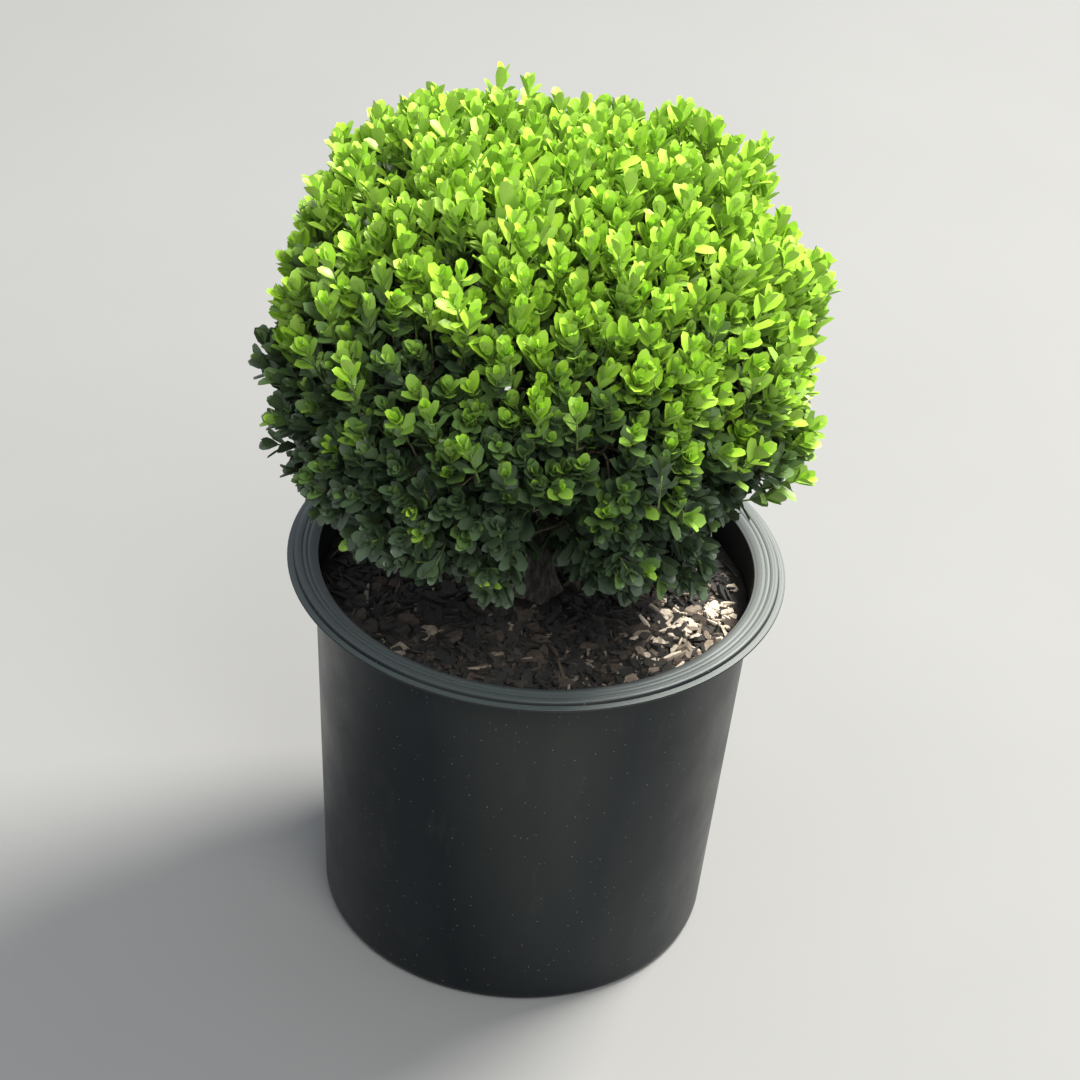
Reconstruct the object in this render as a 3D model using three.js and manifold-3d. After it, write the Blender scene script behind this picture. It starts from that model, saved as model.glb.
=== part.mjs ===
// Box topiary ball in its nursery pot: a clipped globe of small-leaved box on a short trunk,
// standing in a round tapered plastic pot that is filled with potting bark.
// Millimetres, +Z up. The origin is the centre of the pot's flat underside.
import * as THREE from "three";
import { mergeVertices } from "three/addons/utils/BufferGeometryUtils.js";
import Module from "manifold-3d";

// Pot: outer sizes, the rolled rim's section and the holes in the floor
const POT_HEIGHT = 236;
const RIM_RADIUS = 140;
const BODY_TOP_RADIUS = 124.4;
const BODY_BOTTOM_RADIUS = 112.5;
const WALL = 2;
const FLOOR = 3;
const FOOT_ROUND = 4;
const RIM_FLAT = 8;
const RIM_ROLL = 2;
const RIM_FLANGE = 3.5;
const RIM_DROP = 4;
const RIM_SHOULDER = 5;
const RIM_FLANGE_THICKNESS = 1.5;
const POT_SIDES = 36;
const DRAIN_HOLES = 6;
const DRAIN_RADIUS = 7;
const DRAIN_CIRCLE = 88;

// Potting bark
const SOIL_DEPTH_UNDER_RIM = 25;
const SOIL_Z = POT_HEIGHT - SOIL_DEPTH_UNDER_RIM;
const SOIL_RINGS = 6;
const SOIL_SIDES = 28;
const SOIL_LUMP = 2.2;
const SOIL_FLAT_RADIUS = 27;
const CHIPS = 28;
const CHIP_LENGTH = [16, 30];
const CHIP_WIDTH = 0.42;
const CHIP_THICKNESS = 4.5;
const CHIP_TAPER = 0.6;
const CHIP_TILT = 0.65;
const CHIP_SEED = 7;

// Clearance between neighbouring solids
const GAP = 0.3;

// Trunk and boughs
const TRUNK_HEIGHT = 50;
const TRUNK_RADIUS = 10.5;
const TRUNK_TOP_RADIUS = 9;
const ROOT_FLARE = 7;
const TRUNK_LEAN = new THREE.Vector3(-3, -2, 0);
const BOUGH_ROOT_RADIUS = 5.2;
const BOUGH_TIP_RADIUS = 3;
const BOUGH_ROOTS = [0.42, 0.72];
const BOUGH_BEND = { out: 22, up: 12 };
const BOUGH_ENTRY_RADIUS = 36;
const BOUGH_ENTRY_Z = 296;
const BOUGH_ENTRY_STEP = 5;
const BOUGH_TIP_SHORT = 2;
const LEADER_ROOT = 0.9;
const LEADER_BOW = new THREE.Vector3(2, 6, 0);
const LEADER_ENTRY_Z = 404;
const STEM_LENGTH = 34;

// Crown: a globe squarer than a ball, measured to its clipped face
const CROWN_RADIUS = 147;
const CROWN_HALF_HEIGHT = 133;
const CROWN_POWER = 2.6;
const CROWN_CENTRE = new THREE.Vector3(-7, 0, 375);
const CROWN_LUMP = 2;
// Tufts and hollows of the face: degrees round from +X, degrees up from level, and how far out.
const CROWN_BUMPS = [
  { round: -173, rise: -13, out: 14 },
  { round: 168, rise: 14, out: -7 },
  { round: 150, rise: 40, out: 6 },
  { round: 118, rise: 58, out: 6 },
  { round: 78, rise: 63, out: -12 },
  { round: 20, rise: 47, out: 11 },
  { round: 5, rise: 31, out: -10 },
  { round: -3, rise: 18, out: 13 },
  { round: -24, rise: -13, out: 13 },
  { round: -33, rise: -28, out: -10 },
  { round: -122, rise: -52, out: -18 },
  { round: -155, rise: -34, out: 5 },
];
const BUMP_SPREAD_DEGREES = 9;
const CORE_INSET = 27;
const CORE_UNDERSIDE_INSET = 14;
const CORE_ROUGHNESS = 5;
const CORE_CLEFT = 1.5;
const CORE_DETAIL = 5;
const LOWEST_SHOOT = -0.93;
const LOWEST_HEADING = -0.35;

// Shoots and leaves
const SHOOTS = 106;
const SHOOT_SEED = 41;
const FOLIAGE_SEED = 100;
const SHOOT_LENGTH = 30;
const SHOOT_RISE = 0.35;
const TIP_SCATTER = [-4, 4];
const TWIG_RADIUS = 1.5;
const TWIG_THICKENING = 0.4;
const LEAF_LENGTH = 27;
const LEAF_WIDTH = 18;
const LEAF_THICKNESS = 1.5;
const LEAF_CUP = 2.6;
const TIP_LEAF_SHARE = 0.75;
const LEAF_PAIRS = [
  { back: 7, tilt: 64 },
  { back: 3, tilt: 32 },
];
// A leaf that would leave its mass's space is turned round its twig, then drawn in.
const LEAF_TRIES = [
  [0, 1],
  [0.5, 1],
  [-0.5, 1],
  [1, 0.8],
  [-1, 0.8],
  [0.6, 0.5],
  [-0.6, 0.5],
];
const OWN_SPACE_MARGIN = 0.6;
const CLEAR_OF_SOIL = 8;
const CLEAR_OF_RIM = 2;
const CLEAR_OF_WALL = 8;

// The masses' middles: degrees round from the cleft at the front, and degrees up from level.
// A mass's own space is all that lies nearer to its middle than to any other.
const FRONT_CLEFT = 262;
const MASSES = [
  { place: "front_right", round: 33, rise: -7 },
  { place: "right", round: 91, rise: 3 },
  { place: "back_right", round: 148, rise: -8 },
  { place: "back_left", round: 209, rise: 2 },
  { place: "left", round: 271, rise: -5 },
  { place: "front_left", round: 329, rise: 4 },
  { place: "top", round: 60, rise: 84, top: true },
];

const UP = new THREE.Vector3(0, 0, 1);
const wasm = await Module();
wasm.setup();

const radians = THREE.MathUtils.degToRad;
const lerp = THREE.MathUtils.lerp;

// A seeded row of numbers from 0 to 1.
function randomRow(seed) {
  let state = seed >>> 0;
  return () => {
    state = (Math.imul(state, 1664525) + 1013904223) >>> 0;
    return state / 4294967296;
  };
}

// A number from 0 to 1 that depends on a direction alone, for an even roughness.
function scatter(direction) {
  const wave = 1e4 * Math.sin(12.9 * direction.x + 31.2 * direction.y + 7.5 * direction.z);
  return wave - Math.floor(wave);
}

// A closed three.js geometry as a solid that can be joined and cut.
function solidOf(geometry) {
  const bare = geometry.clone();
  bare.deleteAttribute("normal");
  bare.deleteAttribute("uv");
  const merged = mergeVertices(bare, 1e-4);
  return new wasm.Manifold(
    new wasm.Mesh({
      numProp: 3,
      vertProperties: new Float32Array(merged.attributes.position.array),
      triVerts: new Uint32Array(merged.index.array),
    }),
  );
}

function geometryOf(solid) {
  const mesh = solid.getMesh();
  const geometry = new THREE.BufferGeometry();
  geometry.setAttribute("position", new THREE.BufferAttribute(mesh.vertProperties, mesh.numProp));
  geometry.setIndex(new THREE.BufferAttribute(mesh.triVerts, 1));
  geometry.computeVertexNormals();
  return geometry;
}

// The largest body of a solid: loose scraps are dropped and sealed hollows are filled.
function largestBody(solid) {
  const bodies = solid.decompose();
  bodies.sort((a, b) => b.volume() - a.volume());
  return bodies[0];
}

// A profile of [radius, height] points turned about the Z axis.
function lathe(profile, sides) {
  const points = profile.map(([radius, height]) => new THREE.Vector2(radius, height));
  const geometry = new THREE.LatheGeometry(points, sides);
  geometry.rotateX(Math.PI / 2);
  return geometry;
}

// A closed cylinder bent along a curve. radiusAt(t, angle) gives its section.
function limb(curve, radiusAt, sides, steps) {
  const geometry = new THREE.CylinderGeometry(1, 1, 1, sides, steps);
  const places = geometry.attributes.position;
  for (let i = 0; i < places.count; i++) {
    const t = places.getY(i) + 0.5;
    const angle = Math.atan2(places.getZ(i), places.getX(i));
    const share = Math.hypot(places.getX(i), places.getZ(i));
    const along = curve.getTangent(t);
    const side = new THREE.Vector3(1, 0, 0).addScaledVector(along, -along.x).normalize();
    const cross = new THREE.Vector3().crossVectors(side, along);
    const radius = share < 1e-6 ? 0 : radiusAt(t, angle) * share;
    const place = curve
      .getPoint(t)
      .addScaledVector(side, radius * Math.cos(angle))
      .addScaledVector(cross, radius * Math.sin(angle));
    places.setXYZ(i, place.x, place.y, place.z);
  }
  return geometry;
}

// A straight three-sided twig from one point to another.
function twig(from, to, fromRadius, toRadius) {
  const along = new THREE.Vector3().subVectors(to, from);
  const geometry = new THREE.CylinderGeometry(toRadius, fromRadius, along.length(), 3, 1);
  geometry.translate(0, along.length() / 2, 0);
  geometry.applyQuaternion(
    new THREE.Quaternion().setFromUnitVectors(new THREE.Vector3(0, 1, 0), along.normalize()),
  );
  geometry.translate(from.x, from.y, from.z);
  return geometry;
}

// A leaf's corners. It leaves its root along `along`, and `face` is its upper side.
function leafPoints(root, along, face, length, width) {
  const side = new THREE.Vector3().crossVectors(face, along);
  const at = (forward, sideways, rise) =>
    root
      .clone()
      .addScaledVector(along, forward * length)
      .addScaledVector(side, sideways * width)
      .addScaledVector(face, rise);
  return [
    at(0, 0, 0),
    at(0.55, -0.5, LEAF_CUP),
    at(0.95, -0.24, LEAF_CUP / 2),
    at(0.95, 0.24, LEAF_CUP / 2),
    at(0.55, 0.5, LEAF_CUP),
    at(0.5, 0, -LEAF_THICKNESS),
  ];
}

// A blunt leaf of eight faces: three on its bent upper side and five round the keel below.
function leaf(points) {
  const [root, right, tipRight, tipLeft, left, keel] = points.keys();
  const geometry = new THREE.BufferGeometry().setFromPoints(points);
  geometry.setIndex([
    ...[root, right, left],
    ...[left, right, tipRight],
    ...[left, tipRight, tipLeft],
    ...[right, root, keel],
    ...[tipRight, right, keel],
    ...[tipLeft, tipRight, keel],
    ...[left, tipLeft, keel],
    ...[root, left, keel],
  ]);
  return geometry;
}

// A direction from degrees round from +X and degrees up from level.
function headingOf(round, rise) {
  const level = Math.cos(radians(rise));
  return new THREE.Vector3(
    level * Math.cos(radians(round)),
    level * Math.sin(radians(round)),
    Math.sin(radians(rise)),
  );
}

const bumps = CROWN_BUMPS.map(({ round, rise, out }) => ({ heading: headingOf(round, rise), out }));

// The crown's clipped face in a direction from the crown's centre, with its tufts and hollows.
function crownReach(direction) {
  const level = Math.hypot(direction.x, direction.y) / CROWN_RADIUS;
  const upright = Math.abs(direction.z) / CROWN_HALF_HEIGHT;
  const globe = (level ** CROWN_POWER + upright ** CROWN_POWER) ** (-1 / CROWN_POWER);
  const waves =
    Math.sin(7 * direction.x + 5 * direction.z + 0.6) +
    Math.cos(8 * direction.y - 4 * direction.x + 2.1) +
    Math.cos(9 * direction.z - 6 * direction.y);
  const swell = bumps.map(({ heading, out }) => {
    const degrees = THREE.MathUtils.radToDeg(heading.angleTo(direction));
    return out * Math.exp(-0.5 * (degrees / BUMP_SPREAD_DEGREES) ** 2);
  });
  return globe + CROWN_LUMP * waves + swell.reduce((sum, out) => sum + out);
}

// The outward normal of the crown's face in a direction.
function crownNormal(direction) {
  const level = Math.hypot(direction.x, direction.y);
  const around = Math.atan2(direction.y, direction.x);
  const out = (level / CROWN_RADIUS) ** (CROWN_POWER - 1) / CROWN_RADIUS;
  const rise =
    (Math.sign(direction.z) * (Math.abs(direction.z) / CROWN_HALF_HEIGHT) ** (CROWN_POWER - 1)) /
    CROWN_HALF_HEIGHT;
  return new THREE.Vector3(out * Math.cos(around), out * Math.sin(around), rise).normalize();
}

// The free room round the trunk and boughs, as [radius, height] points from the axis.
const HOLLOW = [
  [0, SOIL_Z],
  [50, SOIL_Z],
  [44, SOIL_Z + TRUNK_HEIGHT],
  [BOUGH_ENTRY_RADIUS + 2, BOUGH_ENTRY_Z + 6],
  [BOUGH_ENTRY_RADIUS, LEADER_ENTRY_Z],
  [0, LEADER_ENTRY_Z],
];

function hollowRadius(z) {
  for (let i = 1; i < HOLLOW.length - 2; i++) {
    const [lowRadius, low] = HOLLOW[i];
    const [highRadius, high] = HOLLOW[i + 1];
    if (z <= high) return lerp(lowRadius, highRadius, Math.max(0, (z - low) / (high - low)));
  }
  return BOUGH_ENTRY_RADIUS;
}

// How far a point lies inside a mass's own space; below zero it is outside.
function roomInside(mass, point) {
  const fromCentre = point.clone().sub(CROWN_CENTRE);
  const toOthers = mass.borders.map((border) => fromCentre.dot(border));
  const radius = Math.hypot(point.x, point.y);
  const inPot = radius < BODY_TOP_RADIUS - CLEAR_OF_WALL;
  const floor = inPot ? SOIL_Z + CLEAR_OF_SOIL : POT_HEIGHT + CLEAR_OF_RIM;
  const fromHollow = Math.max(radius - hollowRadius(point.z), point.z - LEADER_ENTRY_Z);
  return Math.min(...toOthers, point.z - floor, fromHollow);
}

function makePot() {
  const rimInner = RIM_RADIUS - RIM_FLANGE - RIM_ROLL - RIM_FLAT;
  const rollCentre = RIM_RADIUS - RIM_FLANGE - RIM_ROLL;
  const flangeTop = POT_HEIGHT - RIM_DROP + RIM_FLANGE_THICKNESS;
  const profile = [
    [0, 0],
    [BODY_BOTTOM_RADIUS - FOOT_ROUND, 0],
    [BODY_BOTTOM_RADIUS - FOOT_ROUND * 0.25, FOOT_ROUND * 0.35],
    [BODY_BOTTOM_RADIUS, FOOT_ROUND],
    [BODY_TOP_RADIUS, POT_HEIGHT - RIM_DROP - RIM_SHOULDER],
    [BODY_TOP_RADIUS, POT_HEIGHT - RIM_DROP + WALL],
    [RIM_RADIUS - RIM_FLANGE - WALL, POT_HEIGHT - RIM_DROP + WALL],
    [RIM_RADIUS - RIM_FLANGE - WALL, POT_HEIGHT - RIM_DROP],
    [RIM_RADIUS, POT_HEIGHT - RIM_DROP],
    [RIM_RADIUS, flangeTop],
    [RIM_RADIUS - RIM_FLANGE, flangeTop],
    [rollCentre + RIM_ROLL * Math.SQRT1_2, POT_HEIGHT - RIM_ROLL * (1 - Math.SQRT1_2)],
    [rollCentre, POT_HEIGHT],
    [rimInner, POT_HEIGHT],
    [BODY_TOP_RADIUS - WALL, POT_HEIGHT - WALL],
    [BODY_TOP_RADIUS - WALL, POT_HEIGHT - RIM_DROP - RIM_SHOULDER],
    [BODY_BOTTOM_RADIUS - WALL, FLOOR],
    [0, FLOOR],
  ];
  let pot = solidOf(lathe(profile, POT_SIDES));
  for (let i = 0; i < DRAIN_HOLES; i++) {
    const angle = ((i + 0.5) * 2 * Math.PI) / DRAIN_HOLES;
    const drill = new THREE.CylinderGeometry(DRAIN_RADIUS, DRAIN_RADIUS, 4 * FLOOR, 8);
    drill.rotateX(Math.PI / 2);
    drill.translate(DRAIN_CIRCLE * Math.cos(angle), DRAIN_CIRCLE * Math.sin(angle), 0);
    pot = pot.subtract(solidOf(drill));
  }
  return pot;
}

// The bark's lumpy face, level where the trunk stands.
function soilLump(x, y) {
  const wave = Math.sin(x * 0.13 + 1) * Math.cos(y * 0.15) + 0.7 * Math.sin(x * 0.05 - y * 0.29);
  const flat = THREE.MathUtils.smoothstep(Math.hypot(x, y), SOIL_FLAT_RADIUS, 2 * SOIL_FLAT_RADIUS);
  return SOIL_LUMP * wave * flat;
}

function innerPotRadius(z) {
  const height = POT_HEIGHT - RIM_DROP - RIM_SHOULDER - FLOOR;
  return lerp(BODY_BOTTOM_RADIUS, BODY_TOP_RADIUS, (z - FLOOR) / height) - WALL;
}

function makeSoil() {
  const random = randomRow(CHIP_SEED);
  // The pot's inside is a ring of flat panels, so the fill keeps clear of their middles.
  const panel = Math.cos(Math.PI / POT_SIDES);
  const bottomRadius = innerPotRadius(FLOOR + GAP) * panel - GAP;
  const topRadius = innerPotRadius(SOIL_Z) * panel - GAP;
  const profile = [
    [0, FLOOR + GAP],
    [bottomRadius, FLOOR + GAP],
    [topRadius, SOIL_Z - 4],
  ];
  for (let ring = SOIL_RINGS; ring > 0; ring--) {
    profile.push([((topRadius - 1) * ring) / SOIL_RINGS, SOIL_Z]);
  }
  profile.push([0, SOIL_Z]);
  const heap = lathe(profile, SOIL_SIDES);
  const places = heap.attributes.position;
  for (let i = 0; i < places.count; i++) {
    const x = places.getX(i);
    const y = places.getY(i);
    if (places.getZ(i) > SOIL_Z - 1) places.setZ(i, SOIL_Z + soilLump(x, y));
  }
  const solids = [solidOf(heap)];
  for (let i = 0; i < CHIPS; i++) {
    const length = lerp(...CHIP_LENGTH, random());
    const chip = new THREE.BoxGeometry(length, length * CHIP_WIDTH, CHIP_THICKNESS);
    const corners = chip.attributes.position;
    for (let j = 0; j < corners.count; j++) {
      if (corners.getX(j) > 0) corners.setY(j, corners.getY(j) * CHIP_TAPER);
    }
    chip.rotateX((random() - 0.5) * CHIP_TILT);
    chip.rotateY((random() - 0.5) * CHIP_TILT);
    chip.rotateZ(random() * Math.PI * 2);
    const near = SOIL_FLAT_RADIUS + CHIP_LENGTH[1] / 2;
    const far = topRadius - length / 2 - CHIP_THICKNESS;
    const radius = Math.sqrt(lerp(near ** 2, far ** 2, random()));
    const angle = random() * 2 * Math.PI;
    const x = radius * Math.cos(angle);
    const y = radius * Math.sin(angle);
    chip.translate(x, y, SOIL_Z + soilLump(x, y) + CHIP_THICKNESS / 5);
    solids.push(solidOf(chip));
  }
  return largestBody(wasm.Manifold.union(solids));
}

const trunkCurve = new THREE.QuadraticBezierCurve3(
  new THREE.Vector3(0, 0, SOIL_Z + GAP),
  new THREE.Vector3(0, 0, SOIL_Z + GAP + TRUNK_HEIGHT * 0.5),
  new THREE.Vector3(0, 0, SOIL_Z + GAP + TRUNK_HEIGHT).add(TRUNK_LEAN),
);

// The trunk's section: a lobed root flare that dies out a third of the way up.
function trunkRadius(t, angle) {
  const flare = ROOT_FLARE * Math.max(0, 1 - t / 0.4) ** 2;
  return lerp(TRUNK_RADIUS, TRUNK_TOP_RADIUS, t) + flare * (0.75 + 0.25 * Math.cos(5 * angle + 1));
}

function makeTrunk(swell) {
  return solidOf(limb(trunkCurve, (t, angle) => trunkRadius(t, angle) + swell, 12, 7));
}

// A bough's run from inside the trunk to its entry into the mass.
function boughCurve(mass) {
  const root = trunkCurve.getPoint(mass.rootAt);
  if (mass.top) {
    const entry = new THREE.Vector3(CROWN_CENTRE.x, 0, LEADER_ENTRY_Z - BOUGH_TIP_SHORT);
    const bend = root.clone().lerp(entry, 0.5).add(LEADER_BOW);
    return new THREE.QuadraticBezierCurve3(root, bend, entry);
  }
  const out = mass.middle.clone().setZ(0).normalize();
  const entry = out.clone().multiplyScalar(BOUGH_ENTRY_RADIUS - BOUGH_TIP_SHORT);
  entry.setZ(BOUGH_ENTRY_Z + mass.lift);
  const bend = root.clone().addScaledVector(out, BOUGH_BEND.out).addScaledVector(UP, BOUGH_BEND.up);
  return new THREE.QuadraticBezierCurve3(root, bend, entry);
}

function makeBough(mass, thickTrunk) {
  const run = mass.boughRun;
  const radiusAt = (t) => lerp(BOUGH_ROOT_RADIUS, BOUGH_TIP_RADIUS, t);
  const bough = solidOf(limb(run, radiusAt, 6, mass.top ? 7 : 5));
  return largestBody(bough.subtract(thickTrunk));
}

// A mass's dense core: the crown shrunk by the inset, cut to the mass's own space.
function makeCore(mass, crownCore, hollow) {
  const size = 4 * CROWN_RADIUS;
  let core = crownCore.subtract(hollow);
  for (const border of mass.borders) {
    const halfSpace = new THREE.BoxGeometry(size, size, size);
    halfSpace.translate(0, 0, size / 2 + CORE_CLEFT);
    halfSpace.applyQuaternion(new THREE.Quaternion().setFromUnitVectors(UP, border));
    halfSpace.translate(CROWN_CENTRE.x, CROWN_CENTRE.y, CROWN_CENTRE.z);
    core = core.intersect(solidOf(halfSpace));
  }
  return core;
}

function makeCrownCore() {
  const ball = new THREE.IcosahedronGeometry(1, CORE_DETAIL);
  const places = ball.attributes.position;
  for (let i = 0; i < places.count; i++) {
    const direction = new THREE.Vector3().fromBufferAttribute(places, i).normalize();
    const under = THREE.MathUtils.smoothstep(-direction.z, 0.4, 0.9);
    const rough = CORE_ROUGHNESS * (2 * scatter(direction) - 1);
    const inset = lerp(CORE_INSET, CORE_UNDERSIDE_INSET, under) + rough;
    const place = direction.multiplyScalar(crownReach(direction) - inset).add(CROWN_CENTRE);
    places.setXYZ(i, place.x, place.y, place.z);
  }
  return solidOf(ball);
}

// A shoot whose tip is at the crown's face in a direction.
function shootAt(direction, reach, spin) {
  const grow = crownNormal(direction).addScaledVector(UP, SHOOT_RISE).normalize();
  grow.setZ(Math.max(grow.z, LOWEST_HEADING)).normalize();
  const end = direction.clone().multiplyScalar(reach).add(CROWN_CENTRE);
  end.addScaledVector(grow, -LEAF_LENGTH * TIP_LEAF_SHARE);
  return { end, grow, spin };
}

// Shoots spread evenly over the crown's face by the golden angle, and one in each tuft.
function makeShoots() {
  const random = randomRow(SHOOT_SEED);
  const golden = Math.PI * (3 - Math.sqrt(5));
  const shoots = [];
  for (let i = 0; i < SHOOTS; i++) {
    const z = lerp(0.99, LOWEST_SHOOT, i / (SHOOTS - 1));
    const around = i * golden + (random() - 0.5) * 0.12;
    const level = Math.sqrt(1 - z * z);
    const direction = new THREE.Vector3(level * Math.cos(around), level * Math.sin(around), z);
    const reach = crownReach(direction) + lerp(...TIP_SCATTER, random());
    shoots.push(shootAt(direction, reach, random() * Math.PI));
  }
  for (const { heading, out } of bumps) {
    if (out > 0) shoots.push(shootAt(heading, crownReach(heading), random() * Math.PI));
  }
  return shoots;
}

// The shoots that end nearest to a mass's middle, drawn back from its borders.
function ownShoots(mass, shoots) {
  const room = OWN_SPACE_MARGIN + TWIG_RADIUS + 0.1;
  const own = shoots.filter(({ end }) => {
    const fromCentre = end.clone().sub(CROWN_CENTRE);
    return mass.borders.every((border) => fromCentre.dot(border) > 0);
  });
  for (const { end } of own) {
    for (const border of mass.borders) {
      const lack = room - end.clone().sub(CROWN_CENTRE).dot(border);
      if (lack > 0) end.addScaledVector(border, lack);
    }
  }
  return own;
}

// Whether a twig keeps to its mass's own space all the way.
function staysInside(mass, from, to, radius) {
  return [0, 0.25, 0.5, 0.75, 1].every(
    (t) => roomInside(mass, from.clone().lerp(to, t)) > OWN_SPACE_MARGIN + radius,
  );
}

// Twigs fork in two from a stem until each carries one shoot. The shoots that fit are returned.
function growTwigs(mass, from, shoots, random, pieces) {
  const thickness = (count) => TWIG_RADIUS * count ** TWIG_THICKENING;
  if (shoots.length === 1) {
    const [shoot] = shoots;
    for (const length of [SHOOT_LENGTH, SHOOT_LENGTH * 0.7, SHOOT_LENGTH * 0.5]) {
      const base = shoot.end.clone().addScaledVector(shoot.grow, -length);
      const reaches = staysInside(mass, from, base, thickness(2));
      if (reaches && staysInside(mass, base, shoot.end, TWIG_RADIUS)) {
        pieces.push(twig(from, base, thickness(2), TWIG_RADIUS * 1.1));
        pieces.push(twig(base, shoot.end, TWIG_RADIUS * 1.2, TWIG_RADIUS * 0.8));
        return shoots;
      }
    }
    return [];
  }
  const middle = new THREE.Vector3();
  for (const shoot of shoots) middle.addScaledVector(shoot.end, 1 / shoots.length);
  const farthest = (point) =>
    shoots.reduce((best, s) =>
      s.end.distanceTo(point) > best.end.distanceTo(point) ? s : best,
    );
  const one = farthest(middle).end;
  const other = farthest(one).end;
  const spread = new THREE.Vector3().subVectors(other, one);
  const ranked = [...shoots].sort((a, b) => a.end.dot(spread) - b.end.dot(spread));
  const half = Math.ceil(ranked.length / 2);
  const fork = from.clone().lerp(middle, lerp(0.3, 0.4, random()));
  pieces.push(twig(from, fork, thickness(shoots.length + 1), thickness(shoots.length)));
  return [
    ...growTwigs(mass, fork, ranked.slice(0, half), random, pieces),
    ...growTwigs(mass, fork, ranked.slice(half), random, pieces),
  ];
}

// Opposite pairs of leaves, each pair turned a quarter round from the last.
function growLeaves(mass, shoot, random, pieces) {
  const side = new THREE.Vector3().crossVectors(shoot.grow, new THREE.Vector3(1, 0.3, 0)).normalize();
  const cross = new THREE.Vector3().crossVectors(shoot.grow, side);
  LEAF_PAIRS.forEach((pair, step) => {
    for (const turn of [0, Math.PI]) {
      const root = shoot.end.clone().addScaledVector(shoot.grow, -pair.back);
      const size = lerp(0.86, 1.08, random());
      const wobble = (random() - 0.5) * 0.5;
      for (const [nudge, squeeze] of LEAF_TRIES) {
        const angle = shoot.spin + (step * Math.PI) / 2 + turn + wobble + nudge;
        const tilt = (radians(pair.tilt) + (random() - 0.5) * 0.3) * squeeze;
        const out = side.clone().multiplyScalar(Math.cos(angle));
        out.addScaledVector(cross, Math.sin(angle));
        const along = shoot.grow.clone().multiplyScalar(Math.cos(tilt));
        along.addScaledVector(out, Math.sin(tilt));
        const face = shoot.grow.clone().multiplyScalar(Math.sin(tilt));
        face.addScaledVector(out, -Math.cos(tilt));
        const points = leafPoints(root, along, face, LEAF_LENGTH * size, LEAF_WIDTH * size);
        if (points.every((point) => roomInside(mass, point) > OWN_SPACE_MARGIN)) {
          pieces.push(leaf(points));
          break;
        }
      }
    }
  });
}

function makeFoliage(mass, crownCore, hollow, shoots, seed) {
  const random = randomRow(seed);
  const run = mass.boughRun;
  const heading = run.getTangent(1);
  const stemStart = run.getPoint(1).addScaledVector(heading, GAP);
  const stemEnd = stemStart.clone().addScaledVector(heading, STEM_LENGTH);
  const stemRun = new THREE.LineCurve3(stemStart, stemEnd);
  const stem = limb(stemRun, (t) => BOUGH_TIP_RADIUS * lerp(1, 0.9, t), 6, 1);
  const twigs = [];
  const leaves = [];
  const grown = growTwigs(mass, stemEnd, shoots, random, twigs);
  for (const shoot of grown) growLeaves(mass, shoot, random, leaves);
  const solids = [makeCore(mass, crownCore, hollow), ...[stem, ...twigs, ...leaves].map(solidOf)];
  return largestBody(wasm.Manifold.union(solids));
}

const materials = {
  pot: new THREE.MeshStandardMaterial({ color: 0x1a1c1f, roughness: 0.42, metalness: 0 }),
  soil: new THREE.MeshStandardMaterial({ color: 0x33261d, roughness: 0.95, metalness: 0 }),
  bark: new THREE.MeshStandardMaterial({ color: 0x77654c, roughness: 0.9, metalness: 0 }),
  foliage: new THREE.MeshStandardMaterial({ color: 0x5c9a1e, roughness: 0.5, metalness: 0 }),
};

function node(name, solid, material) {
  const mesh = new THREE.Mesh(geometryOf(solid), material.clone());
  mesh.name = name;
  return mesh;
}

// Each mass gets its middle's direction and the inward normals of its borders with the others.
const masses = MASSES.map((mass, i) => {
  const middle = headingOf(FRONT_CLEFT + mass.round, mass.rise);
  return { ...mass, middle, lift: (i % 2) * BOUGH_ENTRY_STEP };
});
masses.forEach((mass, i) => {
  const others = masses.filter((other) => other !== mass);
  mass.borders = others.map((other) => mass.middle.clone().sub(other.middle).normalize());
  mass.rootAt = mass.top ? LEADER_ROOT : lerp(...BOUGH_ROOTS, (i % 3) / 2);
  mass.boughRun = boughCurve(mass);
});

const container = new THREE.Group();
container.add(node("pot", makePot(), materials.pot));
container.add(node("soil", makeSoil(), materials.soil));

const plant = new THREE.Group();
const thickTrunk = makeTrunk(GAP);
const crownCore = makeCrownCore();
const hollow = solidOf(lathe(HOLLOW, 24));
const shoots = makeShoots();
plant.add(node("trunk", makeTrunk(0), materials.bark));
masses.forEach((mass, i) => {
  const foliage = makeFoliage(mass, crownCore, hollow, ownShoots(mass, shoots), FOLIAGE_SEED + i);
  plant.add(node(`bough_${mass.place}`, makeBough(mass, thickTrunk), materials.bark));
  plant.add(node(`foliage_${mass.place}`, foliage, materials.foliage));
});

const group = new THREE.Group();
group.add(container, plant);

export default group;
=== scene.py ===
import math

import bpy
import numpy as np
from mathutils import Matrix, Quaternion, Vector, noise


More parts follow.
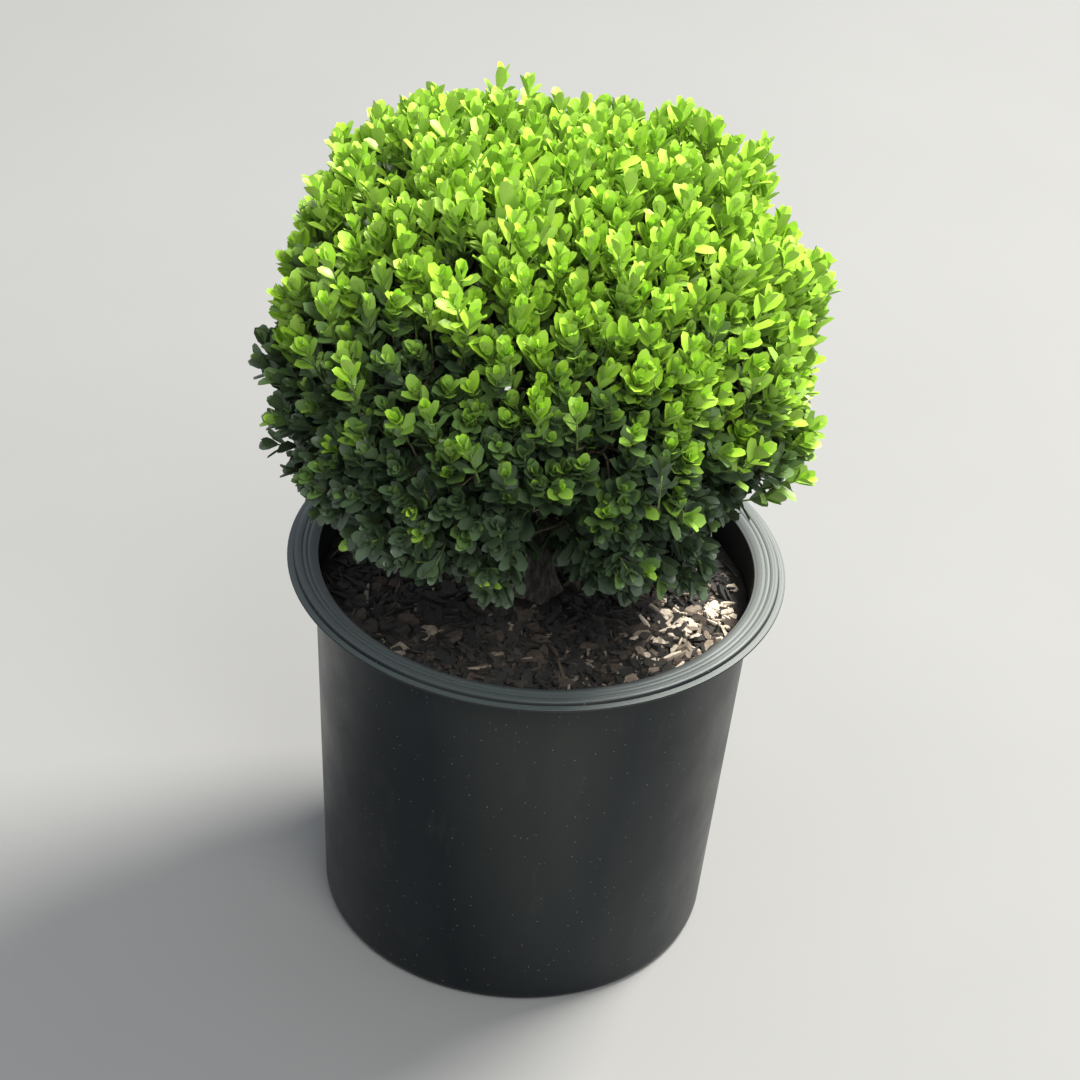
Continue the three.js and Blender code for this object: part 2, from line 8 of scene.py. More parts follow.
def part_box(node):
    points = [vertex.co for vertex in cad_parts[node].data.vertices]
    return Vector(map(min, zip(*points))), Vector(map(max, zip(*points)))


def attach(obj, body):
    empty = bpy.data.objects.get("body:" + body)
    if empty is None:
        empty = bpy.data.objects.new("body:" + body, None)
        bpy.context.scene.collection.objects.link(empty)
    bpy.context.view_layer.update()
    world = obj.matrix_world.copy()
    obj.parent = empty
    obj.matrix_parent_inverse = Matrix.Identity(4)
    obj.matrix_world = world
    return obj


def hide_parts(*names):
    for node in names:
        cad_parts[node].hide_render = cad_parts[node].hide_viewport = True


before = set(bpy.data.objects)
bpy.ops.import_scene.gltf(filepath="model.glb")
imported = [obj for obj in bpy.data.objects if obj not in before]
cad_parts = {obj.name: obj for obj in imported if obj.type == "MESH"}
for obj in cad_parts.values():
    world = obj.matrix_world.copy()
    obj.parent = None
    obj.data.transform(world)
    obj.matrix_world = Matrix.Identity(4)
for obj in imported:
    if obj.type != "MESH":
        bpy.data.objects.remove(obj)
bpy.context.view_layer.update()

pot_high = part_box("pot")[1]

# Pot: its outer sizes come from the frame, the rest is the rim's section and the wall
POT_HEIGHT = pot_high.z
RIM_RADIUS = pot_high.x
BODY_TOP_RADIUS = 0.1244
BODY_BOTTOM_RADIUS = 0.1125
WALL = 0.002
FLOOR = 0.003
FOOT_ROUND = 0.004
RIM_FLAT = 0.008
RIM_ROLL = 0.002
RIM_FLANGE = 0.0035
RIM_DROP = 0.004
RIM_SHOULDER = 0.005
RIM_FLANGE_THICKNESS = 0.0015
RIM_GROOVES = (0.1316, 0.1288)
GROOVE_WIDTH = 0.0012
GROOVE_DEPTH = 0.0005
POT_SIDES = 144
DRAIN_HOLES = 6
DRAIN_RADIUS = 0.007
DRAIN_CIRCLE = 0.088
DRILL_SIDES = 24
FILLET_STEPS = 4
POT_SHARP_FROM = math.radians(50)
# A painted sheen down the front, a pale strip standing in for a reflection: degrees round from +X,
# and how far out its edge and middle lie
SHEEN_STRIP_ROUND = 264
SHEEN_STRIP_REACH = (0.109, 0.122)
SHEEN_STRIP_SHARE = 0.6
# The side of the rim painted lighter where the sun falls on it, which is painted sunlight, told in
# the same way
SUNLIT_RIM_ROUND = -22
SUNLIT_RIM_REACH = (0.05, 0.12)
POT_COLOURS = ((0.0045, 0.0056, 0.0068), (0.0088, 0.0106, 0.0124))
STREAK_COLOUR = (0.024, 0.0235, 0.021)
SHEEN_STRIP_COLOUR = (0.024, 0.0245, 0.022)
DUST_COLOUR = (0.055, 0.052, 0.048)
SPLASH_COLOUR = (0.34, 0.33, 0.31)
# The rim's dust colour, and the lighter colour of its sunlit side, which is painted sunlight
RIM_DUST_AND_SUNLIT_COLOURS = ((0.078, 0.093, 0.093), (0.235, 0.25, 0.24))
RIM_WORN_COLOUR = (0.03, 0.036, 0.037)

# Potting bark
SOIL_Z = 0.211
SOIL_SIDES = 180
SOIL_RINGS = 62
SOIL_RELIEF = 0.0035
SOIL_FLAT_RADIUS = 0.02
SOIL_EDGE_DROP = 0.003
# Its mounds, lumps and crumbs: how fine each is, where its pattern starts, and its share
SOIL_MOUNDS = (28, Vector((0, 0, 0)), 0.5)
SOIL_LUMPS = (110, Vector((3, 0, 0)), 0.4)
SOIL_CRUMBS = (420, Vector((0, 9, 0)), 0.22)
SOIL_COLOURS = (
    (0.30, (0.005, 0.0048, 0.0045)), (0.50, (0.015, 0.012, 0.010)),
    (0.66, (0.038, 0.028, 0.021)), (0.82, (0.10, 0.075, 0.055)),
)

# Loose chips and shreds of bark. Widths and thicknesses are shares of a piece's length
CHIPS = 2300
CHIP_LENGTH = (0.004, 0.017)
CHIP_CORNERS = 6
CHIP_JITTER = 0.25
CHIP_OUTLINE = (0.75, 1.1)
CHIP_HALF_WIDTH = (0.2, 0.42)
CHIP_THICKNESS = (0.08, 0.16)
THINNEST_CHIP = 0.0006
CHIP_WEDGE = 0.5
CHIP_BEND = 0.12
CHIP_TOP_SHARE = 0.86
SHREDS = 1900
SHRED_LENGTH = (0.005, 0.019)
SHRED_HALF_WIDTH = (0.03, 0.075)
THINNEST_SHRED = 0.0003
SHRED_BEND = 0.25
SHRED_TAPER = (0.4, 1, 0.5)
CHIP_SEED = 7
CHIP_LEAN = 0.28
CHIP_HEIGHT = (-0.0012, 0.0018)
SHORT_CHIP_POWER = 1.8
CHIP_CLEAR_OF_POT = 0.003
CHIP_CLEAR_OF_TRUNK = 0.2
# Their tones, and how pale a piece is to have the next one. The front right, where the sun falls,
# is dealt paler pieces, which is painted sunlight
CHIP_TONES = (
    ("bark_black", (0.005, 0.005, 0.005), (0.020, 0.018, 0.016)),
    ("bark_brown", (0.013, 0.011, 0.009), (0.040, 0.033, 0.027)),
    ("bark_red", (0.026, 0.018, 0.013), (0.078, 0.057, 0.042)),
    ("bark_tan", (0.12, 0.092, 0.068), (0.29, 0.235, 0.18)),
    ("bark_cream", (0.40, 0.33, 0.25), (0.72, 0.62, 0.50)),
)
CHIP_TONE_LIMITS = (0.52, 0.84, 0.975, 1.10)
SUNLIT_CHIPS_ROUND = math.radians(-28)
SUNLIT_CHIPS_SPREAD = math.radians(25)
SUNLIT_CHIPS_FROM_AXIS = (0.05, 0.09)
SUNLIT_CHIPS_SHARE = 0.45

# Trunk and boughs
GAP = 0.0003
TRUNK_HEIGHT = 0.05
TRUNK_RADIUS = 0.0105
TRUNK_TOP_RADIUS = 0.009
ROOT_FLARE = 0.007
FLARE_SHARE = 0.4
ROOT_LOBES = 5
LOBE_DEPTH = 0.25
TRUNK_LEAN = Vector((-0.003, -0.002, 0))
BOUGH_ROOT_RADIUS = 0.0052
BOUGH_TIP_RADIUS = 0.003
BOUGH_ROOTS = (0.42, 0.72)
BOUGH_BEND_OUT = 0.022
BOUGH_BEND_UP = 0.012
BOUGH_ENTRY_RADIUS = 0.036
BOUGH_ENTRY_Z = 0.296
BOUGH_ENTRY_STEP = 0.005
BOUGH_TIP_SHORT = 0.002
LEADER_ROOT = 0.9
LEADER_BOW = Vector((0.002, 0.006, 0))
LEADER_ENTRY_Z = 0.404
STEM_LENGTH = 0.034
STEM_TAPER = 0.86
# Sides and steps of the trunk, a bough and a stem inside a mass
TRUNK_GRID = (48, 40)
BOUGH_GRID = (24, 48)
STEM_GRID = (24, 16)
BARK_VOXEL = 0.0011
BARK_SMOOTHING = 4
BARK_RELIEF = 0.0007
# Its plates and cracks: how fine across and along, where the pattern starts, and their share
BARK_PLATES = (380, 75, 0)
BARK_CRACKS = (620, 140, 7)
BARK_GRAIN = 1700
BARK_SHARES = (0.9, 1.1, 0.25)
CRACK_SHARPNESS = 4
BARK_COLOURS = (
    (0.30, (0.013, 0.011, 0.009)), (0.46, (0.042, 0.034, 0.027)),
    (0.62, (0.092, 0.076, 0.060)), (0.80, (0.17, 0.15, 0.125)),
)

# Crown: a globe squarer than a ball, measured to its clipped face
CROWN_RADIUS = 0.147
CROWN_HALF_HEIGHT = 0.133
CROWN_POWER = 2.6
CROWN_CENTRE = np.array((-0.007, 0.0, 0.375))
CROWN_LUMP = 0.002
# Tufts and hollows of the face: degrees round from +X, degrees up from level, and how far out
CROWN_BUMPS = (
    (-173, -13, 0.014), (168, 14, -0.007), (150, 40, 0.006), (118, 58, 0.006),
    (78, 63, -0.012), (20, 47, 0.011), (5, 31, -0.010), (-3, 18, 0.013),
    (-24, -13, 0.013), (-33, -28, -0.010), (-122, -52, -0.018), (-155, -34, 0.005),
)
BUMP_SPREAD = math.radians(9)
# Finer tufts, notches and small hollows, given in the same way
NOTCHES = (
    (184, -14, 0.004), (187, -20, 0.004), (176, 8, -0.018), (171, 17, -0.016),
    (146, 34, 0.004), (130, 47, -0.012), (111, 52, 0.005), (98, 55, -0.014),
    (86, 76, -0.010), (84, 66, -0.012), (80, 54, -0.012), (60, 69, -0.008),
    (37, 67, -0.007), (17, 40, 0.002), (9, 34, -0.014), (317, -17, -0.013),
    (283, -48, 0.012), (258, -42, 0.009), (241, -34, -0.018), (210, -36, 0.008),
    (238, 26, -0.018), (275, 10, -0.019), (222, 4, -0.008), (300, 20, -0.008),
    (262, 40, -0.007), (221, 47, -0.014), (231, 48, -0.014), (237, 39, 0.006),
    (332, -20, 0.004), (341, -17, 0.005), (338, -8, 0.005), (348, -3, 0.005),
    (322, -26, -0.008), (357, 22, 0.004), (162, 29, -0.007), (103, 53, -0.004),
)
NOTCH_SPREAD = math.radians(4.5)
# The highest and lowest shoots, on a ball of radius one, and how far down one may head
HIGHEST_SHOOT = 0.99
LOWEST_SHOOT = -0.93
LOWEST_HEADING = -0.35

# The masses' middles: degrees round from the cleft at the front, and degrees up from level
FRONT_CLEFT = 262
MASSES = (
    ("front_right", 33, -7), ("right", 91, 3), ("back_right", 148, -8), ("back_left", 209, 2),
    ("left", 271, -5), ("front_left", 329, 4), ("top", 60, 84),
)

# Sprays: the tufts that the crown's outline is made of, each carried on into fine shoots
TUFTS = 106
TUFT_SEED = 41
TUFT_SCATTER = (-0.004, 0.004)
TUFT_JITTER = 0.12
TUFT_SPREAD = math.radians(9)
TUFT_FALL = 0.006
TUFT_EDGE = 1.2
SHOOTS = 2900
SHOOT_SEED = 12
SHOOT_JITTER = 0.5
SHOOT_SCATTER = (-0.013, 0.003)
LEADERS = 0.10
LEADER_RISE = 0.010
TALLEST_SHOOT = 0.009
SHOOT_RISE = 0.35
SHOOT_RISE_ABOVE = 1.6
ABOVE_BETWEEN = (-0.45, 0.35)
SHOOT_SWAY = 0.15
UPRIGHT_LEAVES = 0.74
INNER_SHOOTS = 0.26
INNER_DEPTH = (0.010, 0.034)
INNER_AGE = 0.30
INNER_SPLAY = 1.1
SHOOT_LENGTH = 0.03
FOLIAGE_SEED = 100
TWIG_RADIUS = 0.0006
TWIG_THICKENING = 0.4
THICKEST_TWIG = 0.0026
TWIG_BEND = 0.45
FORK_AT = (0.3, 0.4)
TWIG_GRID = (4, 2)
YOUNG_GRID = (3, 1)
YOUNG_TAPER = (1.1, 0.8)
YOUNG_SHORT = 0.0005
TWIG_TONES = (
    ("twig_bark", (0.050, 0.036, 0.022), (0.13, 0.10, 0.06)),
    ("young_stem", (0.075, 0.12, 0.022), (0.16, 0.26, 0.045)),
)
# The dark parting low at the front, where the stems show
CLEFT_ROUND = math.radians(270.5)
CLEFT_HALF_WIDTH = math.radians(5.6)
CLEFT_RISE = (math.radians(-80), math.radians(4))
CLEFT_FADE = (0.3, 0.2)
CLEFT_DEPTH = 0.05
CLEFT_BARE = 0.019

# Leaves
LEAF_LENGTH = 0.0137
LEAF_WIDTH = 0.0070
LEAF_THICKNESS = 0.0004
TIP_LEAF_SHARE = 0.75
# The opposite pairs from the tip of a shoot down: how far below the tip, how many degrees each
# leans out, and its size
LEAF_PAIRS = (
    (0.0006, 13, 0.60), (0.0030, 24, 0.90), (0.0070, 36, 1.04),
    (0.0120, 46, 1.04), (0.0178, 54, 0.98), (0.0242, 62, 0.94),
)
INNER_PAIRS = 4
PAIR_SPACING = (0.9, 1.15)
LEAF_SIZES = (0.84, 1.12)
LEAF_WIDTHS = (0.9, 1.1)
# How far a leaf strays round its shoot, in its lean and in its twist
LEAF_SWING = 0.3
LEAF_SPLAY = 0.2
LEAF_TWIST = 0.14
# Leaf blades for two pairs each, finest at the tip of the shoot: each station's share of the
# length, and its half width as a share of the leaf's width
BLADES = (
    ((0.13, 0.20), (0.40, 0.45), (0.68, 0.50), (0.91, 0.30)),
    ((0.17, 0.24), (0.54, 0.50), (0.87, 0.38)),
    ((0.28, 0.37), (0.78, 0.47)),
)
LEAF_TIP = 0.985
LEAF_CUP = 0.16
LEAF_DROOP = 0.14
DROOP_SHARES = (-0.4, 1.0)
LEAF_TO_LIGHT = 0.22

# How new the leaves are, with painted light added: at the crown's middle, what is added higher up
# for newer growth and painted sunlight, at the right as painted sunlight and on the sides against
# painted shade on the front, in patches and sprays (how fine, how much) and for each metre further
# out
NEW_MIDDLE = 0.36
NEWER_AND_SUNLIT_HIGH = 1.04
PAINTED_LIGHT_ASIDE = (0.14, 0.17)
PAINTED_LIGHT_ROUND = -8.5
NEW_PATCHES = (4.2, 0.26)
NEW_SPRAYS = (11, 0.32)
NEWER_OUTSIDE = 16
NEW_SCATTER = 0.09
OLDER_EACH_PAIR = 0.11
LEAF_AGE_SCATTER = 0.05
# Young rosettes low on the crown: their share, how high, and how much newer, and at least
ROSETTES = 0.06
ROSETTES_BELOW = 0.2
ROSETTE_NEWNESS = (0.4, 0.66)

# Leaf colours from the newest growth to the oldest, and how new a leaf is to have each; that
# newness also holds painted sunlight and shade
TONES = (
    ("leaf_palest", (0.360, 0.600, 0.046), 0.92),
    ("leaf_lime", (0.318, 0.540, 0.039), 0.66),
    ("leaf_fresh", (0.222, 0.388, 0.046), 0.44),
    ("leaf_green", (0.100, 0.177, 0.046), 0.22),
    ("leaf_deep", (0.060, 0.101, 0.044), 0.0),
    ("leaf_inner", (0.044, 0.073, 0.036), -9.0),
)
TONE_LIMITS = np.array([limit for _, _, limit in TONES])
# Leaf undersides: their own paler colour, made paler still as painted light shining through the
# leaves
UNDERSIDE_WITH_GLOW = np.array((0.28, 0.40, 0.13))
UNDERSIDE_WITH_GLOW_SHARE = 0.35

# Camera: the photograph's viewpoint, turned to the plant
CAMERA_PLACE = Vector((-0.2058, -1.3776, 1.2076))
CAMERA_TARGET = Vector((0.001, 0.0, 0.245))
CAMERA_SENSOR = 36
CAMERA_LENS = 100.8
CAMERA_ROLL = math.radians(4.5)

# Plain soft studio light, the main lamp high at the back right, where the sun stands: each
# lamp's place, the point that it faces, its size across, its watts and its colour
LAMPS = (
    ("key", (1.8, 0.95, 3.45), (0, 0, 0.3), 1.3, 362, (1.0, 0.97, 0.90)),
    ("fill", (0.5, -1.9, 2.7), (0, 0, 0.35), 1.6, 60, (1.0, 0.99, 0.93)),
)
SKY_COLOUR = (0.84, 0.89, 0.95)
SKY_STRENGTH = 0.93
FLOOR_REACH = 8.0
FLOOR_Z = -0.0002
FLOOR_COLOURS = ((0.205, 0.205, 0.203), (0.228, 0.228, 0.226))

UP = Vector((0, 0, 1))


def random_row(seed):
    """A seeded row of numbers from 0 to 1."""
    while True:
        seed = (seed * 1664525 + 1013904223) % 2**32
        yield seed / 2**32


def lerp(low, high, share):
    return low + (high - low) * share


def unit(vectors):
    return vectors / np.linalg.norm(vectors, axis=-1, keepdims=True)


def smoothstep(x, low, high):
    share = np.clip((x - low) / (high - low), 0, 1)
    return share * share * (3 - 2 * share)


def heading_of(round_degrees, rise_degrees):
    """A direction from degrees round from +X and degrees up from level."""
    turn, rise = math.radians(round_degrees), math.radians(rise_degrees)
    level = math.cos(rise)
    return np.array((level * math.cos(turn), level * math.sin(turn), math.sin(rise)))


def angle_between(directions, heading):
    return np.arccos(np.clip(directions @ heading, -1, 1))


def swell(directions, bumps, spread):
    """How far the tufts and hollows of a list move the crown's face out."""
    out = np.zeros(len(directions))
    for turn, rise, height in bumps:
        angle = angle_between(directions, heading_of(turn, rise))
        out += height * np.exp(-0.5 * (angle / spread) ** 2)
    return out


def crown_reach(directions):
    """The crown's clipped face in some directions from its centre, with its tufts and hollows."""
    x, y, z = directions.T
    level = np.hypot(x, y) / CROWN_RADIUS
    upright = np.abs(z) / CROWN_HALF_HEIGHT
    globe = (level**CROWN_POWER + upright**CROWN_POWER) ** (-1 / CROWN_POWER)
    waves = np.sin(7 * x + 5 * z + 0.6) + np.cos(8 * y - 4 * x + 2.1) + np.cos(9 * z - 6 * y)
    reach = globe + CROWN_LUMP * waves
    reach += swell(directions, CROWN_BUMPS, BUMP_SPREAD)
    return reach + swell(directions, NOTCHES, NOTCH_SPREAD)


def crown_normal(directions):
    level = np.hypot(directions[:, 0], directions[:, 1])
    flat = directions[:, :2] / np.maximum(level, 1e-9)[:, None]
    out = (level / CROWN_RADIUS) ** (CROWN_POWER - 1) / CROWN_RADIUS
    z = directions[:, 2]
    rise = np.sign(z) * (np.abs(z) / CROWN_HALF_HEIGHT) ** (CROWN_POWER - 1) / CROWN_HALF_HEIGHT
    return unit(np.column_stack((flat * out[:, None], rise)))


def spiral(count, jitter, numbers):
    """Directions spread evenly over the crown by the golden angle, with two more numbers each."""
    golden = math.pi * (3 - math.sqrt(5))
    directions, first, second = [], [], []
    for i in range(count):
        z = lerp(HIGHEST_SHOOT, LOWEST_SHOOT, i / (count - 1))
        around = i * golden + (next(numbers) - 0.5) * jitter
        level = math.sqrt(1 - z * z)
        directions.append((level * math.cos(around), level * math.sin(around), z))
        first.append(next(numbers))
        second.append(next(numbers))
    return np.array(directions), np.array(first), np.array(second)


def tuft_rise(directions):
    """How far the sprays stand out or fall back: up at each tuft's middle, down between them."""
    tufts, scatter, _ = spiral(TUFTS, TUFT_JITTER, random_row(TUFT_SEED))
    heights = lerp(*TUFT_SCATTER, scatter)
    angles = angle_between(directions, tufts.T)
    nearest = angles.argmin(axis=1)
    away = angles.min(axis=1) / TUFT_SPREAD
    return heights[nearest] - TUFT_FALL * np.minimum(away, TUFT_EDGE) ** 2


def parting_depth(directions):
    """How far the parting low at the front falls back."""
    around = np.arctan2(directions[:, 1], directions[:, 0])
    rise = np.arcsin(directions[:, 2])
    turn = (around - CLEFT_ROUND + math.pi) % (2 * math.pi) - math.pi
    low, high = CLEFT_RISE
    fade_in, fade_out = CLEFT_FADE
    inside = smoothstep(rise, low, low + fade_in) * (1 - smoothstep(rise, high - fade_out, high))
    return CLEFT_DEPTH * np.exp(-0.5 * (turn / CLEFT_HALF_WIDTH) ** 2) * inside


def make_shoots():
    """The fine shoots: where each ends, where it grows to, and what its leaves go by."""
    numbers = random_row(SHOOT_SEED)
    directions, scatter, spin = spiral(SHOOTS, SHOOT_JITTER, numbers)
    rng = np.random.default_rng(SHOOT_SEED)
    leading = rng.random(SHOOTS) < LEADERS
    out = tuft_rise(directions) + lerp(*SHOOT_SCATTER, scatter) + LEADER_RISE * leading
    reach = crown_reach(directions) + np.minimum(out, TALLEST_SHOOT)
    inner = rng.random(SHOOTS) < INNER_SHOOTS
    reach -= parting_depth(directions) + inner * rng.uniform(*INNER_DEPTH, SHOOTS)
    above = smoothstep(directions[:, 2], *ABOVE_BETWEEN)
    rise = lerp(SHOOT_RISE, SHOOT_RISE_ABOVE, above)
    grow = crown_normal(directions) + rise[:, None] * np.array((0, 0, 1))
    grow = unit(unit(grow) + SHOOT_SWAY * rng.normal(size=grow.shape))
    grow[:, 2] = np.maximum(grow[:, 2], LOWEST_HEADING)
    grow = unit(grow)
    end = CROWN_CENTRE + directions * reach[:, None] - grow * LEAF_LENGTH * TIP_LEAF_SHARE
    shoots = {
        "end": end, "grow": grow, "spin": spin * math.pi, "direction": directions,
        "open": np.where(inner, INNER_SPLAY, lerp(1, UPRIGHT_LEAVES, above)), "inner": inner,
        "out": out + swell(directions, NOTCHES, NOTCH_SPREAD),
    }
    kept = parting_depth(directions) < CLEFT_BARE
    return {name: values[kept] for name, values in shoots.items()}


# The free room round the trunk and boughs: its radius at some heights, and how much stays free
HOLLOW_RADII = (0.05, 0.044, BOUGH_ENTRY_RADIUS + 0.002, BOUGH_ENTRY_RADIUS)
HOLLOW_HEIGHTS = (SOIL_Z, SOIL_Z + TRUNK_HEIGHT, BOUGH_ENTRY_Z + 0.006, LEADER_ENTRY_Z)
HOLLOW_SHARE = 0.8
CLEAR_OF_SOIL = 0.006
CLEAR_OF_RIM = 0.002
CLEAR_OF_WALL = 0.005


def is_clear(points):
    """Whether points keep clear of the soil, the pot and the room round the stems."""
    radius = np.hypot(points[..., 0], points[..., 1])
    z = points[..., 2]
    in_pot = radius < BODY_TOP_RADIUS - CLEAR_OF_WALL
    floor = np.where(in_pot, SOIL_Z + CLEAR_OF_SOIL, POT_HEIGHT + CLEAR_OF_RIM)
    free = np.interp(z, HOLLOW_HEIGHTS, HOLLOW_RADII) * HOLLOW_SHARE
    return (z > floor) & ((radius > free) | (z > LEADER_ENTRY_Z))


def added(name, data):
    """A new object in the scene."""
    thing = bpy.data.objects.new(name, data)
    bpy.context.collection.objects.link(thing)
    return thing


def mesh_object(name, points, faces, materials, tones=None, smooth=True, rim=None):
    """A mesh of triangles. tones gives each face its material, rim tells the sharp edges."""
    mesh = bpy.data.meshes.new(name)
    mesh.vertices.add(len(points))
    mesh.vertices.foreach_set("co", np.ascontiguousarray(points, dtype=np.float32).ravel())
    mesh.loops.add(faces.size)
    mesh.loops.foreach_set("vertex_index", faces.astype(np.int32).ravel())
    mesh.polygons.add(len(faces))
    mesh.polygons.foreach_set("loop_start", np.arange(0, faces.size, 3, dtype=np.int32))
    mesh.polygons.foreach_set("use_smooth", np.full(len(faces), smooth))
    if tones is not None:
        mesh.polygons.foreach_set("material_index", tones.astype(np.int32))
    mesh.update(calc_edges=True)
    if rim is not None:
        ends = np.empty(len(mesh.edges) * 2, dtype=np.int32)
        mesh.edges.foreach_get("vertices", ends)
        sharp = mesh.attributes.new("sharp_edge", "BOOLEAN", "EDGE")
        sharp.data.foreach_set("value", rim(ends.reshape(-1, 2)))
    mesh.validate()
    for material in materials:
        mesh.materials.append(material)
    return added(name, mesh)


def closed_rings(rings, sides):
    """The faces of a closed tube of rings of points, its two ends closed by fans."""
    faces = []
    for ring in range(rings - 1):
        for side in range(sides):
            a = ring * sides + side
            b = ring * sides + (side + 1) % sides
            faces += [(a, b, b + sides), (a, b + sides, a + sides)]
    last = (rings - 1) * sides
    for side in range(1, sides - 1):
        faces.append((0, side + 1, side))
        faces.append((last, last + side, last + side + 1))
    return np.array(faces)


def repeated(faces, count, points_each):
    """One shape's faces, again for each of its copies."""
    offsets = np.arange(count)[:, None, None] * points_each
    return (faces[None] + offsets).reshape(-1, 3)


def circle(angles):
    return np.column_stack((np.cos(angles), np.sin(angles)))


def frames_along(along):
    """Two directions square to each of some directions."""
    helper = np.where(np.abs(along[:, :1]) > 0.8, (0.0, 1.0, 0.0), (1.0, 0.3, 0.0))
    side = unit(np.cross(along, helper))
    return side, np.cross(along, side)


def bezier(start, bend, end, t):
    return start * (1 - t) ** 2 + bend * 2 * t * (1 - t) + end * t * t


def bent_twigs(starts, bends, ends, start_radii, end_radii, sides, steps):
    """Closed twigs, each bent along its run from start to end."""
    side, cross = frames_along(unit(ends - starts))
    angles = np.arange(sides) * 2 * math.pi / sides
    ring = (
        side[:, None] * np.cos(angles)[None, :, None]
        + cross[:, None] * np.sin(angles)[None, :, None]
    )
    rows = []
    for step in range(steps + 1):
        t = step / steps
        radii = lerp(start_radii, end_radii, t)
        rows.append(bezier(starts, bends, ends, t)[:, None] + ring * radii[:, None, None])
    points = np.stack(rows, axis=1).reshape(-1, 3)
    return points, repeated(closed_rings(steps + 1, sides), len(starts), (steps + 1) * sides)


def bezier_heading(start, bend, end, t):
    return ((bend - start) * (1 - t) + (end - bend) * t).normalized()


TRUNK_RUN = (
    Vector((0, 0, SOIL_Z + GAP)),
    Vector((0, 0, SOIL_Z + GAP + TRUNK_HEIGHT * 0.5)),
    Vector((0, 0, SOIL_Z + GAP + TRUNK_HEIGHT)) + TRUNK_LEAN,
)


def trunk_radius(t, angle):
    flare = ROOT_FLARE * max(0, 1 - t / FLARE_SHARE) ** 2
    lobes = 1 - LOBE_DEPTH + LOBE_DEPTH * math.cos(ROOT_LOBES * angle + 1)
    return lerp(TRUNK_RADIUS, TRUNK_TOP_RADIUS, t) + flare * lobes


def bough_radius(t, _):
    return lerp(BOUGH_ROOT_RADIUS, BOUGH_TIP_RADIUS, t)


def stem_radius(t, _):
    return BOUGH_TIP_RADIUS * lerp(1, STEM_TAPER, t)


def bough_run(index, place, middle):
    """A bough's start, bend and end, by the same rule as the solid's."""
    if place == "top":
        root = bezier(*TRUNK_RUN, LEADER_ROOT)
        entry = Vector((CROWN_CENTRE[0], 0, LEADER_ENTRY_Z - BOUGH_TIP_SHORT))
        return root, root.lerp(entry, 0.5) + LEADER_BOW, entry
    root = bezier(*TRUNK_RUN, lerp(*BOUGH_ROOTS, (index % 3) / 2))
    out = Vector((middle[0], middle[1], 0)).normalized()
    entry = out * (BOUGH_ENTRY_RADIUS - BOUGH_TIP_SHORT)
    entry.z = BOUGH_ENTRY_Z + (index % 2) * BOUGH_ENTRY_STEP
    return root, root + out * BOUGH_BEND_OUT + UP * BOUGH_BEND_UP, entry


def limb(run, radius_at, sides, steps):
    """A closed limb bent along a run. radius_at(t, angle) gives its section."""
    points = []
    for step in range(steps + 1):
        t = step / steps
        along = bezier_heading(*run, t)
        side = (Vector((1, 0, 0)) - along * along.x).normalized()
        cross = along.cross(side)
        for i in range(sides):
            angle = 2 * math.pi * i / sides
            out = side * math.cos(angle) + cross * math.sin(angle)
            points.append(bezier(*run, t) + out * radius_at(t, angle))
    return np.array(points), closed_rings(steps + 1, sides)


def joined(shapes):
    """Several (points, faces) shapes as one."""
    points, faces, base = [], [], 0
    for shape_points, shape_faces in shapes:
        points.append(shape_points)
        faces.append(shape_faces + base)
        base += len(shape_points)
    return np.concatenate(points), np.concatenate(faces)


def with_modifier(piece, kind, **settings):
    """Applies one modifier to a piece's mesh."""
    modifier = piece.modifiers.new(kind.lower(), kind)
    for key, value in settings.items():
        setattr(modifier, key, value)
    bpy.context.view_layer.update()
    made = bpy.data.meshes.new_from_object(
        piece.evaluated_get(bpy.context.evaluated_depsgraph_get())
    )
    piece.modifiers.clear()
    old, piece.data = piece.data, made
    bpy.data.meshes.remove(old)
    return piece


def long_noise(place, across, along, shift):
    """Noise that is drawn out along a limb."""
    return noise.noise(Vector((place.x * across + shift, place.y * across, place.z * along)))


def bark_height(place):
    """The bark's relief: long plates that cracks run between, and a fine roughness."""
    plates = long_noise(place, *BARK_PLATES)
    cracks = min(abs(long_noise(place, *BARK_CRACKS)) * CRACK_SHARPNESS, 1)
    fine = noise.noise(place * BARK_GRAIN)
    plate, crack, grain = BARK_SHARES
    return plate * plates + crack * cracks - 1 + grain * fine


def make_limbs(runs, material):
    """The trunk, the boughs and the stems inside the masses, as one mesh of bark."""
    shapes = [limb(TRUNK_RUN, trunk_radius, *TRUNK_GRID)]
    for run in runs:
        shapes.append(limb(run, bough_radius, *BOUGH_GRID))
        heading = bezier_heading(*run, 1)
        start = run[2] - heading * BOUGH_TIP_SHORT
        end = run[2] + heading * (STEM_LENGTH + GAP)
        stem = (start, start.lerp(end, 0.5), end)
        shapes.append(limb(stem, stem_radius, *STEM_GRID))
    limbs = mesh_object("limbs", *joined(shapes), [material])
    with_modifier(limbs, "REMESH", mode="VOXEL", voxel_size=BARK_VOXEL, use_smooth_shade=True)
    with_modifier(limbs, "SMOOTH", iterations=BARK_SMOOTHING, factor=0.5)
    places = np.array([vertex.co for vertex in limbs.data.vertices])
    normals = np.array([vertex.normal for vertex in limbs.data.vertices])
    relief = np.array([bark_height(Vector(place)) for place in places])
    places += normals * (BARK_RELIEF * relief)[:, None]
    places[:, 2] = np.maximum(places[:, 2], SOIL_Z + GAP)
    limbs.data.vertices.foreach_set("co", places.astype(np.float32).ravel())
    limbs.data.update()
    return limbs


